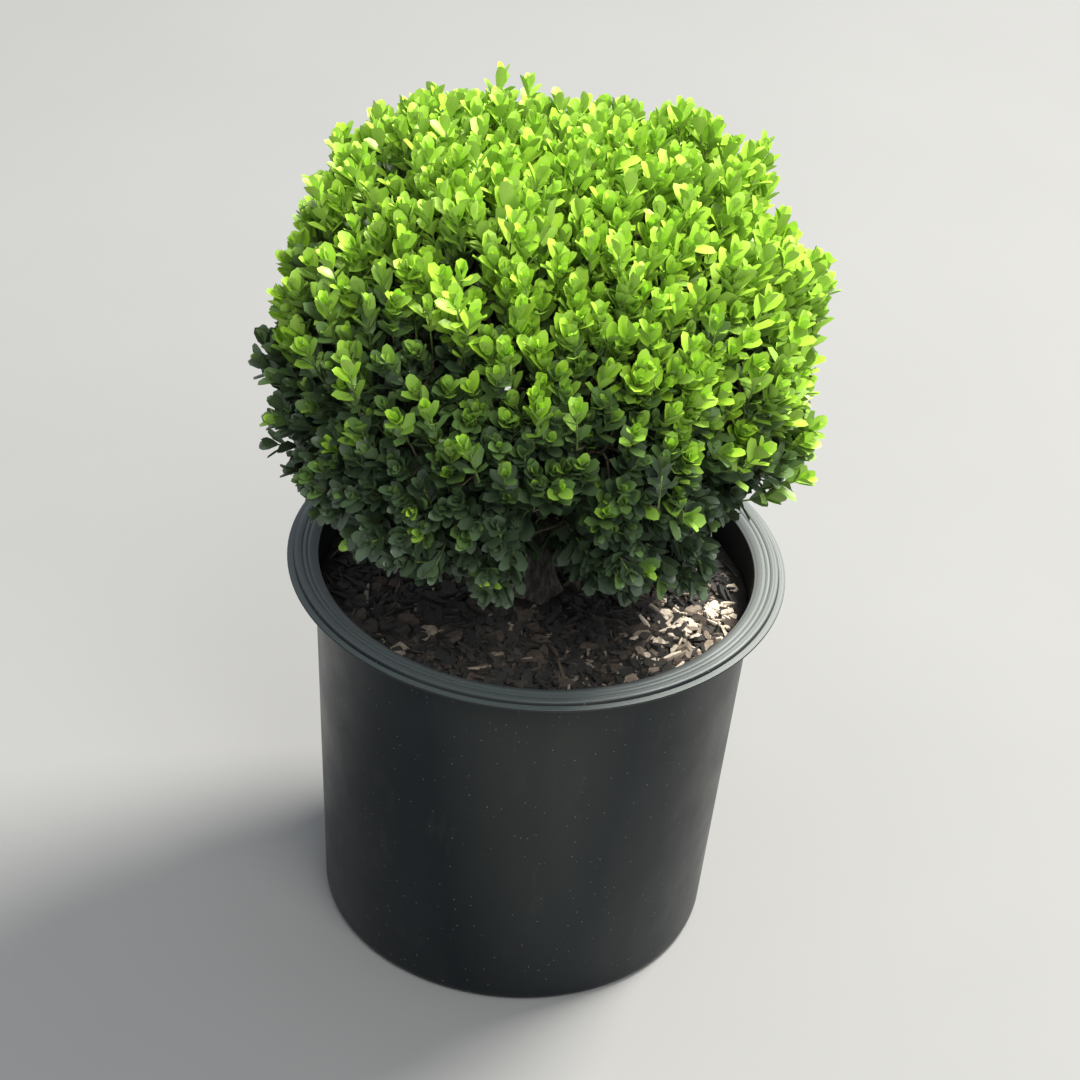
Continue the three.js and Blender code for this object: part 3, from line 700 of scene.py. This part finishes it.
def grow_twigs(start, heading, bases, grows, chosen, numbers, segments):
    """Twigs fork in two from a stem until each carries one shoot. Each sets off straight on."""
    def thickness(count):
        return min(TWIG_RADIUS * count**TWIG_THICKENING, THICKEST_TWIG)

    if len(chosen) == 1:
        base = bases[chosen[0]]
        turn = (heading - grows[chosen[0]]) * np.linalg.norm(base - start) * TWIG_BEND / 2
        bend = lerp(start, base, 0.5) + turn
        segments.append((start, bend, base, thickness(2), thickness(1)))
        return
    places = bases[chosen]
    middle = places.mean(axis=0)
    one = places[np.linalg.norm(places - middle, axis=1).argmax()]
    other = places[np.linalg.norm(places - one, axis=1).argmax()]
    ranked = chosen[np.argsort(places @ (other - one), kind="stable")]
    half = math.ceil(len(ranked) / 2)
    fork = lerp(start, middle, lerp(*FORK_AT, next(numbers)))
    bend = start + heading * TWIG_BEND * np.linalg.norm(fork - start)
    segments.append((start, bend, fork, thickness(len(chosen) + 1), thickness(len(chosen))))
    onward = unit(fork - bend)
    for part in (ranked[:half], ranked[half:]):
        grow_twigs(fork, onward, bases, grows, part, numbers, segments)


def make_twigs(place, stem_end, stem_heading, shoots, own, seed, materials):
    """A mass's twigs: woody ones that fork from its stem, and one young one for each shoot."""
    ends, grows = shoots["end"], shoots["grow"]
    bases = ends - grows * SHOOT_LENGTH
    bases = np.where(is_clear(bases)[:, None], bases, ends - grows * SHOOT_LENGTH / 2)
    segments = []
    grow_twigs(stem_end, stem_heading, bases, grows, own, random_row(seed), segments)
    woody = bent_twigs(*(np.array(values) for values in zip(*segments)), *TWIG_GRID)
    low, high = bases[own], ends[own] - grows[own] * YOUNG_SHORT
    thick, thin = (np.full(len(own), TWIG_RADIUS) * share for share in YOUNG_TAPER)
    young = bent_twigs(low, lerp(low, high, 0.5), high, thick, thin, *YOUNG_GRID)
    points, faces = joined((woody, young))
    tones = np.repeat((0, 1), (len(woody[1]), len(young[1])))
    return mesh_object(f"twigs_{place}", points, faces, materials, tones)


def leaf_shape(stations):
    """A leaf's corners: shares of its length and width, and which side of the blade."""
    rows = [(0, 0, 0)]
    for forward, half in stations:
        rows += [(forward, half, 0), (forward, -half, 0)]
    rows.append((LEAF_TIP, 0, 0))
    for face in (1, -1):
        rows += [(forward, 0, face) for forward, _ in stations]
    return np.array(rows, float)


def leaf_faces(stations):
    """A leaf's faces, the upper side first. Corners on the rim come before the midrib's."""
    count = len(stations)
    rim = 2 * count + 2
    tip = rim - 1
    upper = []
    for station in range(count):
        middle = rim + station
        left, right = 1 + 2 * station, 2 + 2 * station
        if station == 0:
            upper += [(0, middle, left), (0, right, middle)]
        if station < count - 1:
            upper += [(left, middle, middle + 1), (left, middle + 1, left + 2)]
            upper += [(right, right + 2, middle + 1), (right, middle + 1, middle)]
        else:
            upper += [(left, middle, tip), (right, tip, middle)]
    lower = [
        tuple(corner + count if corner >= rim else corner for corner in reversed(face))
        for face in upper
    ]
    return np.array(upper + lower)


def leaf_newness_and_light(directions, out, rng):
    """How new a shoot's leaves are, with painted light added: newer and painted sunlit at the top,
    painted sunlight at the right, painted shade on the front, newest where it stands out.
    """
    (patch_scale, patch), (spray_scale, spray) = NEW_PATCHES, NEW_SPRAYS
    painted_right, painted_sides = PAINTED_LIGHT_ASIDE
    newer, at_least = ROSETTE_NEWNESS
    height = directions[:, 2]
    aside = directions @ heading_of(PAINTED_LIGHT_ROUND, 0)
    patches = np.array([noise.noise(Vector(d) * patch_scale) for d in directions])
    shift = Vector((5, 0, 0))
    sprays = np.array([noise.noise(Vector(d) * spray_scale + shift) for d in directions])
    # Newer growth and painted sunlight at the top; painted sunlight at the right and painted shade
    # on the front
    fresh = NEW_MIDDLE + NEWER_AND_SUNLIT_HIGH * height + painted_right * aside + painted_sides * aside**2
    fresh += patch * patches + spray * sprays + NEWER_OUTSIDE * (out - out.mean())
    fresh += rng.normal(0, NEW_SCATTER, len(directions))
    rosettes = (rng.random(len(directions)) < ROSETTES) & (height < ROSETTES_BELOW)
    return np.where(rosettes, np.maximum(fresh + newer, at_least), fresh)


def make_leaves(place, shoots, own, rng, materials):
    """A mass's leaves: opposite pairs on each shoot, each pair turned a quarter from the last."""
    parts, tones, on_rim = [], [], []
    for blade, stations in enumerate(BLADES):
        leaves = []
        for step in (2 * blade, 2 * blade + 1):
            carrying = own[(step < INNER_PAIRS) | ~shoots["inner"][own]]
            for turn in (0, math.pi):
                leaves.append(leaves_of_pair(step, turn, shoots, carrying, rng))
        root, along, up, size, new = (np.concatenate(part) for part in zip(*leaves))
        shape, faces = leaf_shape(stations), leaf_faces(stations)
        points = leaf_points(shape, root, along, up, size, rng)
        kept = is_clear(points).all(axis=1)
        points, new = points[kept], new[kept]
        tone = (new[:, None] < TONE_LIMITS).sum(axis=1)
        sides = np.column_stack((2 * tone, 2 * tone + 1))
        tones.append(np.repeat(sides, len(faces) // 2, axis=1).ravel())
        parts.append((points.reshape(-1, 3), repeated(faces, len(points), len(shape))))
        on_rim.append(np.tile(np.arange(len(shape)) < 2 * len(stations) + 2, len(points)))
    on_rim = np.concatenate(on_rim)
    points, faces = joined(parts)
    return mesh_object(
        f"leaves_{place}", points, faces, materials, np.concatenate(tones),
        rim=lambda ends: on_rim[ends].all(axis=1),
    )


def leaves_of_pair(step, turn, shoots, carrying, rng):
    """One leaf on each shoot: its root, its run, its upper side, its size and how new it is."""
    below, lean, share = LEAF_PAIRS[step]
    end, grow = shoots["end"][carrying], shoots["grow"][carrying]
    side, cross = frames_along(grow)
    count = len(carrying)
    swing = rng.uniform(-LEAF_SWING, LEAF_SWING, count)
    splay = rng.uniform(-LEAF_SPLAY, LEAF_SPLAY, count)
    angle = (shoots["spin"][carrying] + step * math.pi / 2 + turn + swing)[:, None]
    tilt = (math.radians(lean) * shoots["open"][carrying] + splay)[:, None]
    out = side * np.cos(angle) + cross * np.sin(angle)
    along = grow * np.cos(tilt) + out * np.sin(tilt)
    up = grow * np.sin(tilt) - out * np.cos(tilt)
    up = up + LEAF_TO_LIGHT * np.array((0, 0, 1)) + rng.normal(0, LEAF_TWIST, up.shape)
    up = unit(up - along * (up * along).sum(axis=1, keepdims=True))
    root = end - grow * below * rng.uniform(*PAIR_SPACING, (count, 1))
    size = share * rng.uniform(*LEAF_SIZES, count)
    new = shoots["new"][carrying] - OLDER_EACH_PAIR * step
    new = new + rng.normal(0, LEAF_AGE_SCATTER, count)
    return root, along, up, size, new


def leaf_points(shape, root, along, up, size, rng):
    """The corners of many leaves: cupped across, and curved down or up along their length."""
    side = np.cross(up, along)
    length = (LEAF_LENGTH * size)[:, None]
    width = (LEAF_WIDTH * size * rng.uniform(*LEAF_WIDTHS, len(size)))[:, None]
    forward, sideways, blade = shape.T
    droop = rng.uniform(*DROOP_SHARES, len(size))[:, None] * LEAF_DROOP
    rise = (
        np.abs(sideways) * 2 * LEAF_CUP * width
        - droop * length * forward**2
        + blade * LEAF_THICKNESS / 2
    )
    return (
        root[:, None]
        + along[:, None] * (forward * length)[..., None]
        + side[:, None] * (sideways * width)[..., None]
        + up[:, None] * rise[..., None]
    )


def rounded_profile(corners):
    """A closed profile of (radius, height, fillet) corners with each corner rounded."""
    points = []
    for i, (radius, height, fillet) in enumerate(corners):
        here = np.array((radius, height))
        if fillet == 0:
            points.append(here)
            continue
        before = unit(np.array(corners[i - 1][:2]) - here)
        after = unit(np.array(corners[(i + 1) % len(corners)][:2]) - here)
        for step in range(FILLET_STEPS + 1):
            t = step / FILLET_STEPS
            points.append(here + before * fillet * (1 - t) ** 2 + after * fillet * t**2)
    return points


def lathe(profile, sides):
    """A closed solid turned about Z from a profile that starts and ends on the axis."""
    around = circle(np.arange(sides) * 2 * math.pi / sides)
    points = [np.array((0.0, 0.0, profile[0][1]))[None]]
    for radius, height in profile[1:-1]:
        points.append(np.column_stack((around * radius, np.full(sides, height))))
    points.append(np.array((0.0, 0.0, profile[-1][1]))[None])
    rings = len(profile) - 2
    faces = []
    for side in range(sides):
        following = (side + 1) % sides
        faces.append((0, 1 + following, 1 + side))
        for ring in range(rings - 1):
            a, b = 1 + ring * sides + side, 1 + ring * sides + following
            faces += [(a, b, b + sides), (a, b + sides, a + sides)]
        last = 1 + (rings - 1) * sides
        faces.append((last + side, last + following, 1 + rings * sides))
    return np.concatenate(points), np.array(faces)


def make_pot(material):
    """The pot, turned from its section and drilled."""
    lip = RIM_RADIUS - RIM_FLANGE
    foot = BODY_BOTTOM_RADIUS - FOOT_ROUND
    under_rim = POT_HEIGHT - RIM_DROP
    flange_top = under_rim + RIM_FLANGE_THICKNESS
    shoulder = under_rim - RIM_SHOULDER
    grooves = []
    for radius in RIM_GROOVES:
        grooves += [
            (radius + GROOVE_WIDTH / 2, POT_HEIGHT, 0),
            (radius, POT_HEIGHT - GROOVE_DEPTH, 0),
            (radius - GROOVE_WIDTH / 2, POT_HEIGHT, 0),
        ]
    corners = [
        (0, 0, 0),
        (foot, 0, 0.001),
        (BODY_BOTTOM_RADIUS - FOOT_ROUND * 0.25, FOOT_ROUND * 0.35, 0.0012),
        (BODY_BOTTOM_RADIUS, FOOT_ROUND, 0.0012),
        (BODY_TOP_RADIUS, shoulder, 0.001),
        (BODY_TOP_RADIUS, under_rim + WALL, 0.0008),
        (lip - WALL, under_rim + WALL, 0.0006),
        (lip - WALL, under_rim, 0.0005),
        (RIM_RADIUS, under_rim, 0.0006),
        (RIM_RADIUS, flange_top, 0.0006),
        (lip, flange_top, 0.0004),
        (lip, POT_HEIGHT, RIM_ROLL),
        *grooves,
        (lip - RIM_ROLL - RIM_FLAT, POT_HEIGHT, 0.0007),
        (BODY_TOP_RADIUS - WALL, POT_HEIGHT - WALL, 0.0007),
        (BODY_TOP_RADIUS - WALL, shoulder, 0.001),
        (BODY_BOTTOM_RADIUS - WALL, FLOOR, 0.0008),
        (0, FLOOR, 0),
    ]
    pot = mesh_object("pot_shell", *lathe(rounded_profile(corners), POT_SIDES), [material])
    angles = (np.arange(DRAIN_HOLES) + 0.5) * 2 * math.pi / DRAIN_HOLES
    centres = np.column_stack((circle(angles), 0 * angles)) * DRAIN_CIRCLE
    reach = np.array((0, 0, 3 * FLOOR))
    radii = np.full(DRAIN_HOLES, DRAIN_RADIUS)
    drilled = bent_twigs(centres - reach, centres, centres + reach, radii, radii, DRILL_SIDES, 1)
    drills = mesh_object("drills", *drilled, [])
    with_modifier(pot, "BOOLEAN", operation="DIFFERENCE", object=drills, solver="EXACT")
    bpy.data.objects.remove(drills)
    pot.data.shade_smooth()
    pot.data.set_sharp_from_angle(angle=POT_SHARP_FROM)
    return pot


def inner_pot_radius(z):
    height = POT_HEIGHT - RIM_DROP - RIM_SHOULDER - FLOOR
    return lerp(BODY_BOTTOM_RADIUS, BODY_TOP_RADIUS, (z - FLOOR) / height) - WALL


def soil_height(x, y):
    """The bark's lumpy face: low mounds, lumps and crumbs, level at the trunk's foot."""
    place = Vector((x, y, 0))
    mounds, lumps, crumbs = (
        share * noise.noise(place * scale + start)
        for scale, start, share in (SOIL_MOUNDS, SOIL_LUMPS, SOIL_CRUMBS)
    )
    flat = float(smoothstep(math.hypot(x, y), SOIL_FLAT_RADIUS, 2 * SOIL_FLAT_RADIUS))
    return SOIL_Z + SOIL_RELIEF * (mounds * flat + lumps * flat + crumbs)


def make_soil(material):
    top_radius = inner_pot_radius(SOIL_Z) - GAP
    bottom_radius = inner_pot_radius(FLOOR + GAP) - GAP
    edge = SOIL_Z - SOIL_EDGE_DROP
    profile = [(0, FLOOR + GAP), (bottom_radius, FLOOR + GAP), (top_radius, edge)]
    for ring in range(SOIL_RINGS, 0, -1):
        profile.append((top_radius * ring / SOIL_RINGS, SOIL_Z))
    profile.append((0, SOIL_Z))
    points, faces = lathe(profile, SOIL_SIDES)
    for point in points:
        if point[2] > (edge + SOIL_Z) / 2:
            point[2] = soil_height(point[0], point[1])
    return mesh_object("soil_heap", points, faces, [material])


def turn_about(axis, angle):
    """A turn about one axis: 0 is X, 1 is Y and 2 is Z."""
    matrix = np.eye(3)
    one, other = (axis + 1) % 3, (axis + 2) % 3
    matrix[one, one] = matrix[other, other] = math.cos(angle)
    matrix[one, other], matrix[other, one] = -math.sin(angle), math.sin(angle)
    return matrix


def turned(points, rng):
    """A chip's points leaned a little each way and turned round at random."""
    tip, roll = rng.normal(0, CHIP_LEAN), rng.normal(0, CHIP_LEAN)
    spin = rng.uniform(0, 2 * math.pi)
    return points @ (turn_about(2, spin) @ turn_about(1, roll) @ turn_about(0, tip)).T


def chip_points(rng, length):
    """A flat flake of bark with uneven corners, thinner at one end."""
    angles = np.arange(CHIP_CORNERS) * 2 * math.pi / CHIP_CORNERS
    angles += rng.uniform(-CHIP_JITTER, CHIP_JITTER, CHIP_CORNERS)
    outline = circle(angles) * rng.uniform(*CHIP_OUTLINE, (CHIP_CORNERS, 1))
    outline *= (length / 2, length * rng.uniform(*CHIP_HALF_WIDTH))
    thickness = length * rng.uniform(*CHIP_THICKNESS) + THINNEST_CHIP
    slope = 1 + CHIP_WEDGE * outline[:, :1] / length
    bend = rng.uniform(-CHIP_BEND, CHIP_BEND) * outline[:, :1] ** 2 / length
    top = np.hstack((outline * CHIP_TOP_SHARE, bend + slope * thickness / 2))
    bottom = np.hstack((outline, bend - slope * thickness / 2))
    return np.concatenate((bottom, top))


def shred_points(rng, length):
    """A thin splinter of bark."""
    half = length * rng.uniform(*SHRED_HALF_WIDTH) + THINNEST_SHRED
    along = np.linspace(-0.5, 0.5, len(SHRED_TAPER)) * length
    bend = rng.uniform(-SHRED_BEND, SHRED_BEND, 2)
    corners = np.array(((-1, -1), (1, -1), (1, 1), (-1, 1))) * half
    rings = []
    for x, taper in zip(along, SHRED_TAPER):
        centre = bend * x * x / length
        rings.append(np.column_stack((np.full(4, x), corners * taper + centre)))
    return np.concatenate(rings)


def make_bark_pieces(name, count, lengths, shape, faces, seed, materials):
    """Bark pieces strewn over the soil, paler at the front right where the sun falls on it: painted
    sunlight.
    """
    rng = np.random.default_rng(seed)
    far = inner_pot_radius(SOIL_Z) - CHIP_CLEAR_OF_POT
    shapes, tones = [], []
    while len(shapes) < count:
        length = lerp(*lengths, rng.random() ** SHORT_CHIP_POWER)
        near = TRUNK_RADIUS + ROOT_FLARE + length * CHIP_CLEAR_OF_TRUNK
        radius = math.sqrt(lerp(near**2, far**2, rng.random()))
        angle = rng.uniform(-math.pi, math.pi)
        points = turned(shape(rng, length), rng)
        x, y = radius * math.cos(angle), radius * math.sin(angle)
        points = points + (x, y, soil_height(x, y) + rng.uniform(*CHIP_HEIGHT))
        if np.hypot(points[:, 0], points[:, 1]).max() > far:
            continue
        # Painted sunlight: pieces at the front right, where the sun falls, are dealt paler tones
        sunlit = math.exp(-0.5 * ((angle - SUNLIT_CHIPS_ROUND) / SUNLIT_CHIPS_SPREAD) ** 2)
        paleness = rng.random() + SUNLIT_CHIPS_SHARE * sunlit * smoothstep(radius, *SUNLIT_CHIPS_FROM_AXIS)
        tone = sum(paleness > limit for limit in CHIP_TONE_LIMITS)
        shapes.append((points, faces))
        tones.append(np.full(len(faces), tone))
    points, all_faces = joined(shapes)
    return mesh_object(name, points, all_faces, materials, np.concatenate(tones), smooth=False)


class Nodes:
    """Builds one material's node tree from plain calls."""

    def __init__(self, name):
        self.material = bpy.data.materials.new(name)
        self.material.use_nodes = True
        self.tree = self.material.node_tree
        self.shader = self.tree.nodes["Principled BSDF"]
        self.place = self.add("TexCoord").outputs["Object"]

    def feed(self, socket, value):
        """Links an output to a socket, or sets a plain value on it."""
        if isinstance(value, bpy.types.NodeSocket):
            self.tree.links.new(value, socket)
        else:
            socket.default_value = value

    def fill(self, node, **inputs):
        """Feeds a node's inputs by name."""
        for key, value in inputs.items():
            self.feed(node.inputs[key.replace("_", " ")], value)
        return node

    def add(self, kind, **inputs):
        return self.fill(self.tree.nodes.new(f"ShaderNode{kind}"), **inputs)

    def set(self, **inputs):
        self.fill(self.shader, **inputs)

    def stretched(self, scale):
        return self.add("Mapping", Vector=self.place, Scale=scale).outputs["Vector"]

    def noise(self, scale, detail=4.0, roughness=0.55, stretch=None):
        place = self.stretched(stretch) if stretch else self.place
        node = self.add("TexNoise", Vector=place, Scale=scale, Detail=detail, Roughness=roughness)
        return node.outputs["Fac"]

    def cells(self, scale):
        return self.add("TexVoronoi", Vector=self.place, Scale=scale).outputs["Distance"]

    def ramp(self, value, stops):
        node = self.add("ValToRGB", Fac=value)
        elements = node.color_ramp.elements
        while len(elements) < len(stops):
            elements.new(0.5)
        for element, (position, colour) in zip(elements, stops):
            element.position = position
            element.color = (*colour, 1)
        return node.outputs["Color"]

    def mix(self, share, low, high):
        """Two colours mixed: the node's inputs 6 and 7 and its output 2 are its colour ones."""
        node = self.add("Mix", Factor=share)
        node.data_type = "RGBA"
        for socket, colour in ((node.inputs[6], low), (node.inputs[7], high)):
            self.feed(socket, (*colour, 1) if isinstance(colour, tuple) else colour)
        return node.outputs[2]

    def range(self, value, low, high, to_low=0, to_high=1):
        node = self.add("MapRange", Value=value, From_Min=low, From_Max=high)
        return self.fill(node, To_Min=to_low, To_Max=to_high).outputs["Result"]

    def bump(self, height, strength, distance, **under):
        node = self.add("Bump", Height=height, Strength=strength, Distance=distance)
        return self.fill(node, **under).outputs["Normal"]

    def towards(self, turn):
        """How far out a point lies in a level direction, given in degrees round from +X."""
        node = self.add("VectorMath", Vector=self.place)
        node.operation = "DOT_PRODUCT"
        node.inputs[1].default_value = heading_of(turn, 0)
        return node.outputs["Value"]

    def rings(self, scale):
        """Noise in rings round the axis."""
        radius = self.add("VectorMath", Vector=self.stretched((1, 1, 0)))
        radius.operation = "LENGTH"
        node = self.add("TexNoise", Scale=scale)
        node.noise_dimensions = "1D"
        return self.fill(node, W=radius.outputs["Value"]).outputs["Fac"]

    def upward(self):
        normal = self.add("NewGeometry").outputs["Normal"]
        return self.add("SeparateXYZ", Vector=normal).outputs["Z"]

    def colour(self, output):
        self.set(Base_Color=output)

    def rough(self, value, to_low, to_high, high=0.7):
        """Roughness from a pattern: to_low where it is 0.3, to_high where it reaches high."""
        self.set(Roughness=self.range(value, 0.3, high, to_low, to_high))

    def relief(self, height, strength, distance, **under):
        self.set(Normal=self.bump(height, strength, distance, **under))


def leaf_material(name, colour, gloss):
    """One plain leaf colour, with a leathery skin from its roughness and fine relief."""
    nodes = Nodes(name)
    nodes.colour((*colour, 1))
    nodes.set(Specular_IOR_Level=0.5, Coat_Weight=0.08 * gloss, Coat_Roughness=0.3)
    nodes.rough(nodes.noise(420), 0.36, 0.58 if gloss else 0.75)
    nodes.relief(nodes.noise(900, 3), 0.25, 0.0004)
    return nodes.material


def pot_material():
    """Satin black plastic, clouded, streaked, dusty and splashed, with a painted sheen down its
    front and painted sunlight on the right of its rim.
    """
    nodes = Nodes("pot_plastic")
    clouds = nodes.noise(9, 5)
    body = nodes.mix(nodes.range(clouds, 0.35, 0.7), *POT_COLOURS)
    streaks = nodes.noise(13, 2, stretch=(1, 1, 0.10))
    streaked = nodes.mix(nodes.range(streaks, 0.50, 0.70, 0, 0.8), body, STREAK_COLOUR)
    dust = nodes.noise(55, 8, 0.65, stretch=(1, 1, 0.35))
    # Painted reflection: a pale strip on the front of the wall, standing in for a sheen
    painted_sheen = nodes.range(nodes.towards(SHEEN_STRIP_ROUND), *SHEEN_STRIP_REACH, 0, SHEEN_STRIP_SHARE)
    wall = nodes.mix(painted_sheen, streaked, SHEEN_STRIP_COLOUR)
    dusty = nodes.mix(nodes.range(dust, 0.58, 0.85, 0, 0.35), wall, DUST_COLOUR)
    splashes = nodes.range(nodes.cells(210), 0.045, 0.075, 0.55, 0)
    splashed = nodes.mix(splashes, dusty, SPLASH_COLOUR)
    # Painted sunlight: the rim's upward faces are lighter on the side that the sun falls on
    painted_sun = nodes.range(nodes.towards(SUNLIT_RIM_ROUND), *SUNLIT_RIM_REACH)
    rim_dust_and_sun = nodes.mix(painted_sun, *RIM_DUST_AND_SUNLIT_COLOURS)
    worn = nodes.mix(nodes.range(nodes.rings(1100), 0.40, 0.62, 0, 0.45), rim_dust_and_sun, RIM_WORN_COLOUR)
    nodes.colour(nodes.mix(nodes.range(nodes.upward(), 0.6, 1.0, 0, 0.85), splashed, worn))
    nodes.set(Specular_IOR_Level=0.26, Specular_Tint=(0.84, 0.96, 1.0, 1))
    nodes.rough(nodes.noise(28, 6), 0.30, 0.46, high=0.75)
    grain = nodes.bump(nodes.noise(1500, 2), 0.12, 0.0003)
    nodes.relief(nodes.noise(16, 3, stretch=(1, 1, 0.4)), 0.12, 0.003, Normal=grain)
    return nodes.material


def soil_material():
    """Damp fines of bark, dark between the crumbs."""
    nodes = Nodes("damp_bark_fines")
    crumbs = nodes.noise(260, 8, 0.7)
    nodes.colour(nodes.ramp(crumbs, SOIL_COLOURS))
    nodes.rough(crumbs, 0.75, 0.98)
    nodes.relief(nodes.noise(700, 5, 0.7), 0.8, 0.0015)
    return nodes.material


def chip_material(name, dark, light):
    """Broken bark, mottled and crumbling."""
    nodes = Nodes(name)
    mottle = nodes.noise(330, 6, 0.65)
    nodes.colour(nodes.mix(nodes.range(mottle, 0.32, 0.68), dark, light))
    nodes.rough(mottle, 0.7, 0.95)
    nodes.relief(mottle, 0.7, 0.0009)
    return nodes.material


def bark_material():
    """Grey-brown bark, pale on its plates and dark in the cracks between them."""
    nodes = Nodes("box_bark")
    plates = nodes.noise(420, 6, 0.6, stretch=(1, 1, 0.22))
    nodes.colour(nodes.ramp(plates, BARK_COLOURS))
    nodes.rough(plates, 0.95, 0.75)
    fine = nodes.bump(nodes.noise(1800, 4, stretch=(1, 1, 0.3)), 0.5, 0.0004)
    nodes.relief(plates, 0.6, 0.0009, Normal=fine)
    return nodes.material


def twig_material(name, dark, light):
    """Mottled twig bark, or young green stem."""
    nodes = Nodes(name)
    mottle = nodes.noise(300, 4)
    nodes.colour(nodes.mix(nodes.range(mottle, 0.35, 0.65), dark, light))
    nodes.rough(mottle, 0.6, 0.85)
    nodes.relief(nodes.noise(1200, 3), 0.3, 0.0003)
    return nodes.material


def make_plant():
    """Grows every mass from its bough, then the limbs, and hides the solids they stand for."""
    middles = [heading_of(FRONT_CLEFT + turn, rise) for _, turn, rise in MASSES]
    runs = [bough_run(i, place, middles[i]) for i, (place, _, _) in enumerate(MASSES)]
    shoots = make_shoots()
    rng = np.random.default_rng(FOLIAGE_SEED)
    shoots["new"] = leaf_newness_and_light(shoots["direction"], shoots["out"], rng)
    shoots["new"] -= INNER_AGE * shoots["inner"]
    owner = ((shoots["end"] - CROWN_CENTRE) @ np.array(middles).T).argmax(axis=1)
    growing = is_clear(shoots["end"])
    leaf_materials = []
    for name, colour, _ in TONES:
        # Undersides paler, partly their own colour and partly painted light shining through the
        # leaves
        under = tuple(lerp(np.array(colour), UNDERSIDE_WITH_GLOW * sum(colour), UNDERSIDE_WITH_GLOW_SHARE))
        leaf_materials += [leaf_material(name, colour, 1), leaf_material(f"{name}_under", under, 0)]
    twig_materials = [twig_material(*tone) for tone in TWIG_TONES]
    for i, (place, _, _) in enumerate(MASSES):
        own = np.flatnonzero((owner == i) & growing)
        heading = bezier_heading(*runs[i], 1)
        stem_end = np.array(runs[i][2] + heading * STEM_LENGTH)
        seed = FOLIAGE_SEED + i
        twigs = make_twigs(place, stem_end, np.array(heading), shoots, own, seed, twig_materials)
        leaves = make_leaves(place, shoots, own, rng, leaf_materials)
        for piece in (twigs, leaves):
            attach(piece, "root")
            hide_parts(f"foliage_{place}")
    limbs = make_limbs(runs, bark_material())
    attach(limbs, "root")
    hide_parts("trunk", *(f"bough_{place}" for place, _, _ in MASSES))


def make_container():
    """The pot, the soil in it and the loose bark on top."""
    pot = make_pot(pot_material())
    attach(pot, "root")
    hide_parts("pot")
    chip_tones = [chip_material(*tone) for tone in CHIP_TONES]
    chip_faces = closed_rings(2, CHIP_CORNERS)
    shred_faces = closed_rings(len(SHRED_TAPER), 4)
    heap = make_soil(soil_material())
    flakes = make_bark_pieces(
        "bark_flakes", CHIPS, CHIP_LENGTH, chip_points, chip_faces, CHIP_SEED, chip_tones
    )
    shreds = make_bark_pieces(
        "bark_shreds", SHREDS, SHRED_LENGTH, shred_points, shred_faces, CHIP_SEED + 1, chip_tones
    )
    for piece in (heap, flakes, shreds):
        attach(piece, "root")
        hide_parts("soil")


def make_floor():
    corners = np.array(((-1, -1, 0), (1, -1, 0), (1, 1, 0), (-1, 1, 0)), float) * FLOOR_REACH
    corners[:, 2] = FLOOR_Z
    nodes = Nodes("floor")
    nodes.colour(nodes.mix(nodes.noise(3, 4), *FLOOR_COLOURS))
    nodes.set(Roughness=0.8)
    floor = mesh_object("floor", corners, np.array(((0, 1, 2), (0, 2, 3))), [nodes.material])


def make_lights():
    for name, place, target, size, watts, colour in LAMPS:
        light = bpy.data.lights.new(name, "AREA")
        light.shape = "DISK"
        light.size = size
        light.energy = watts
        light.color = colour
        lamp = added(name, light)
        lamp.location = place
        facing = Vector(target) - Vector(place)
        lamp.rotation_euler = facing.to_track_quat("-Z", "Y").to_euler()
    world = bpy.data.worlds.new("studio")
    world.use_nodes = True
    background = world.node_tree.nodes["Background"]
    background.inputs["Color"].default_value = (*SKY_COLOUR, 1)
    background.inputs["Strength"].default_value = SKY_STRENGTH
    bpy.context.scene.world = world
    bpy.context.scene.view_settings.view_transform = "Standard"


def make_camera():
    camera = added("camera", bpy.data.cameras.new("camera"))
    camera.data.sensor_width = CAMERA_SENSOR
    camera.data.lens = CAMERA_LENS
    camera.location = CAMERA_PLACE
    facing = (CAMERA_TARGET - CAMERA_PLACE).to_track_quat("-Z", "Y")
    camera.rotation_euler = (facing @ Quaternion((0, 0, 1), CAMERA_ROLL)).to_euler()
    bpy.context.scene.camera = camera


make_camera()
make_container()
make_plant()
make_floor()
make_lights()
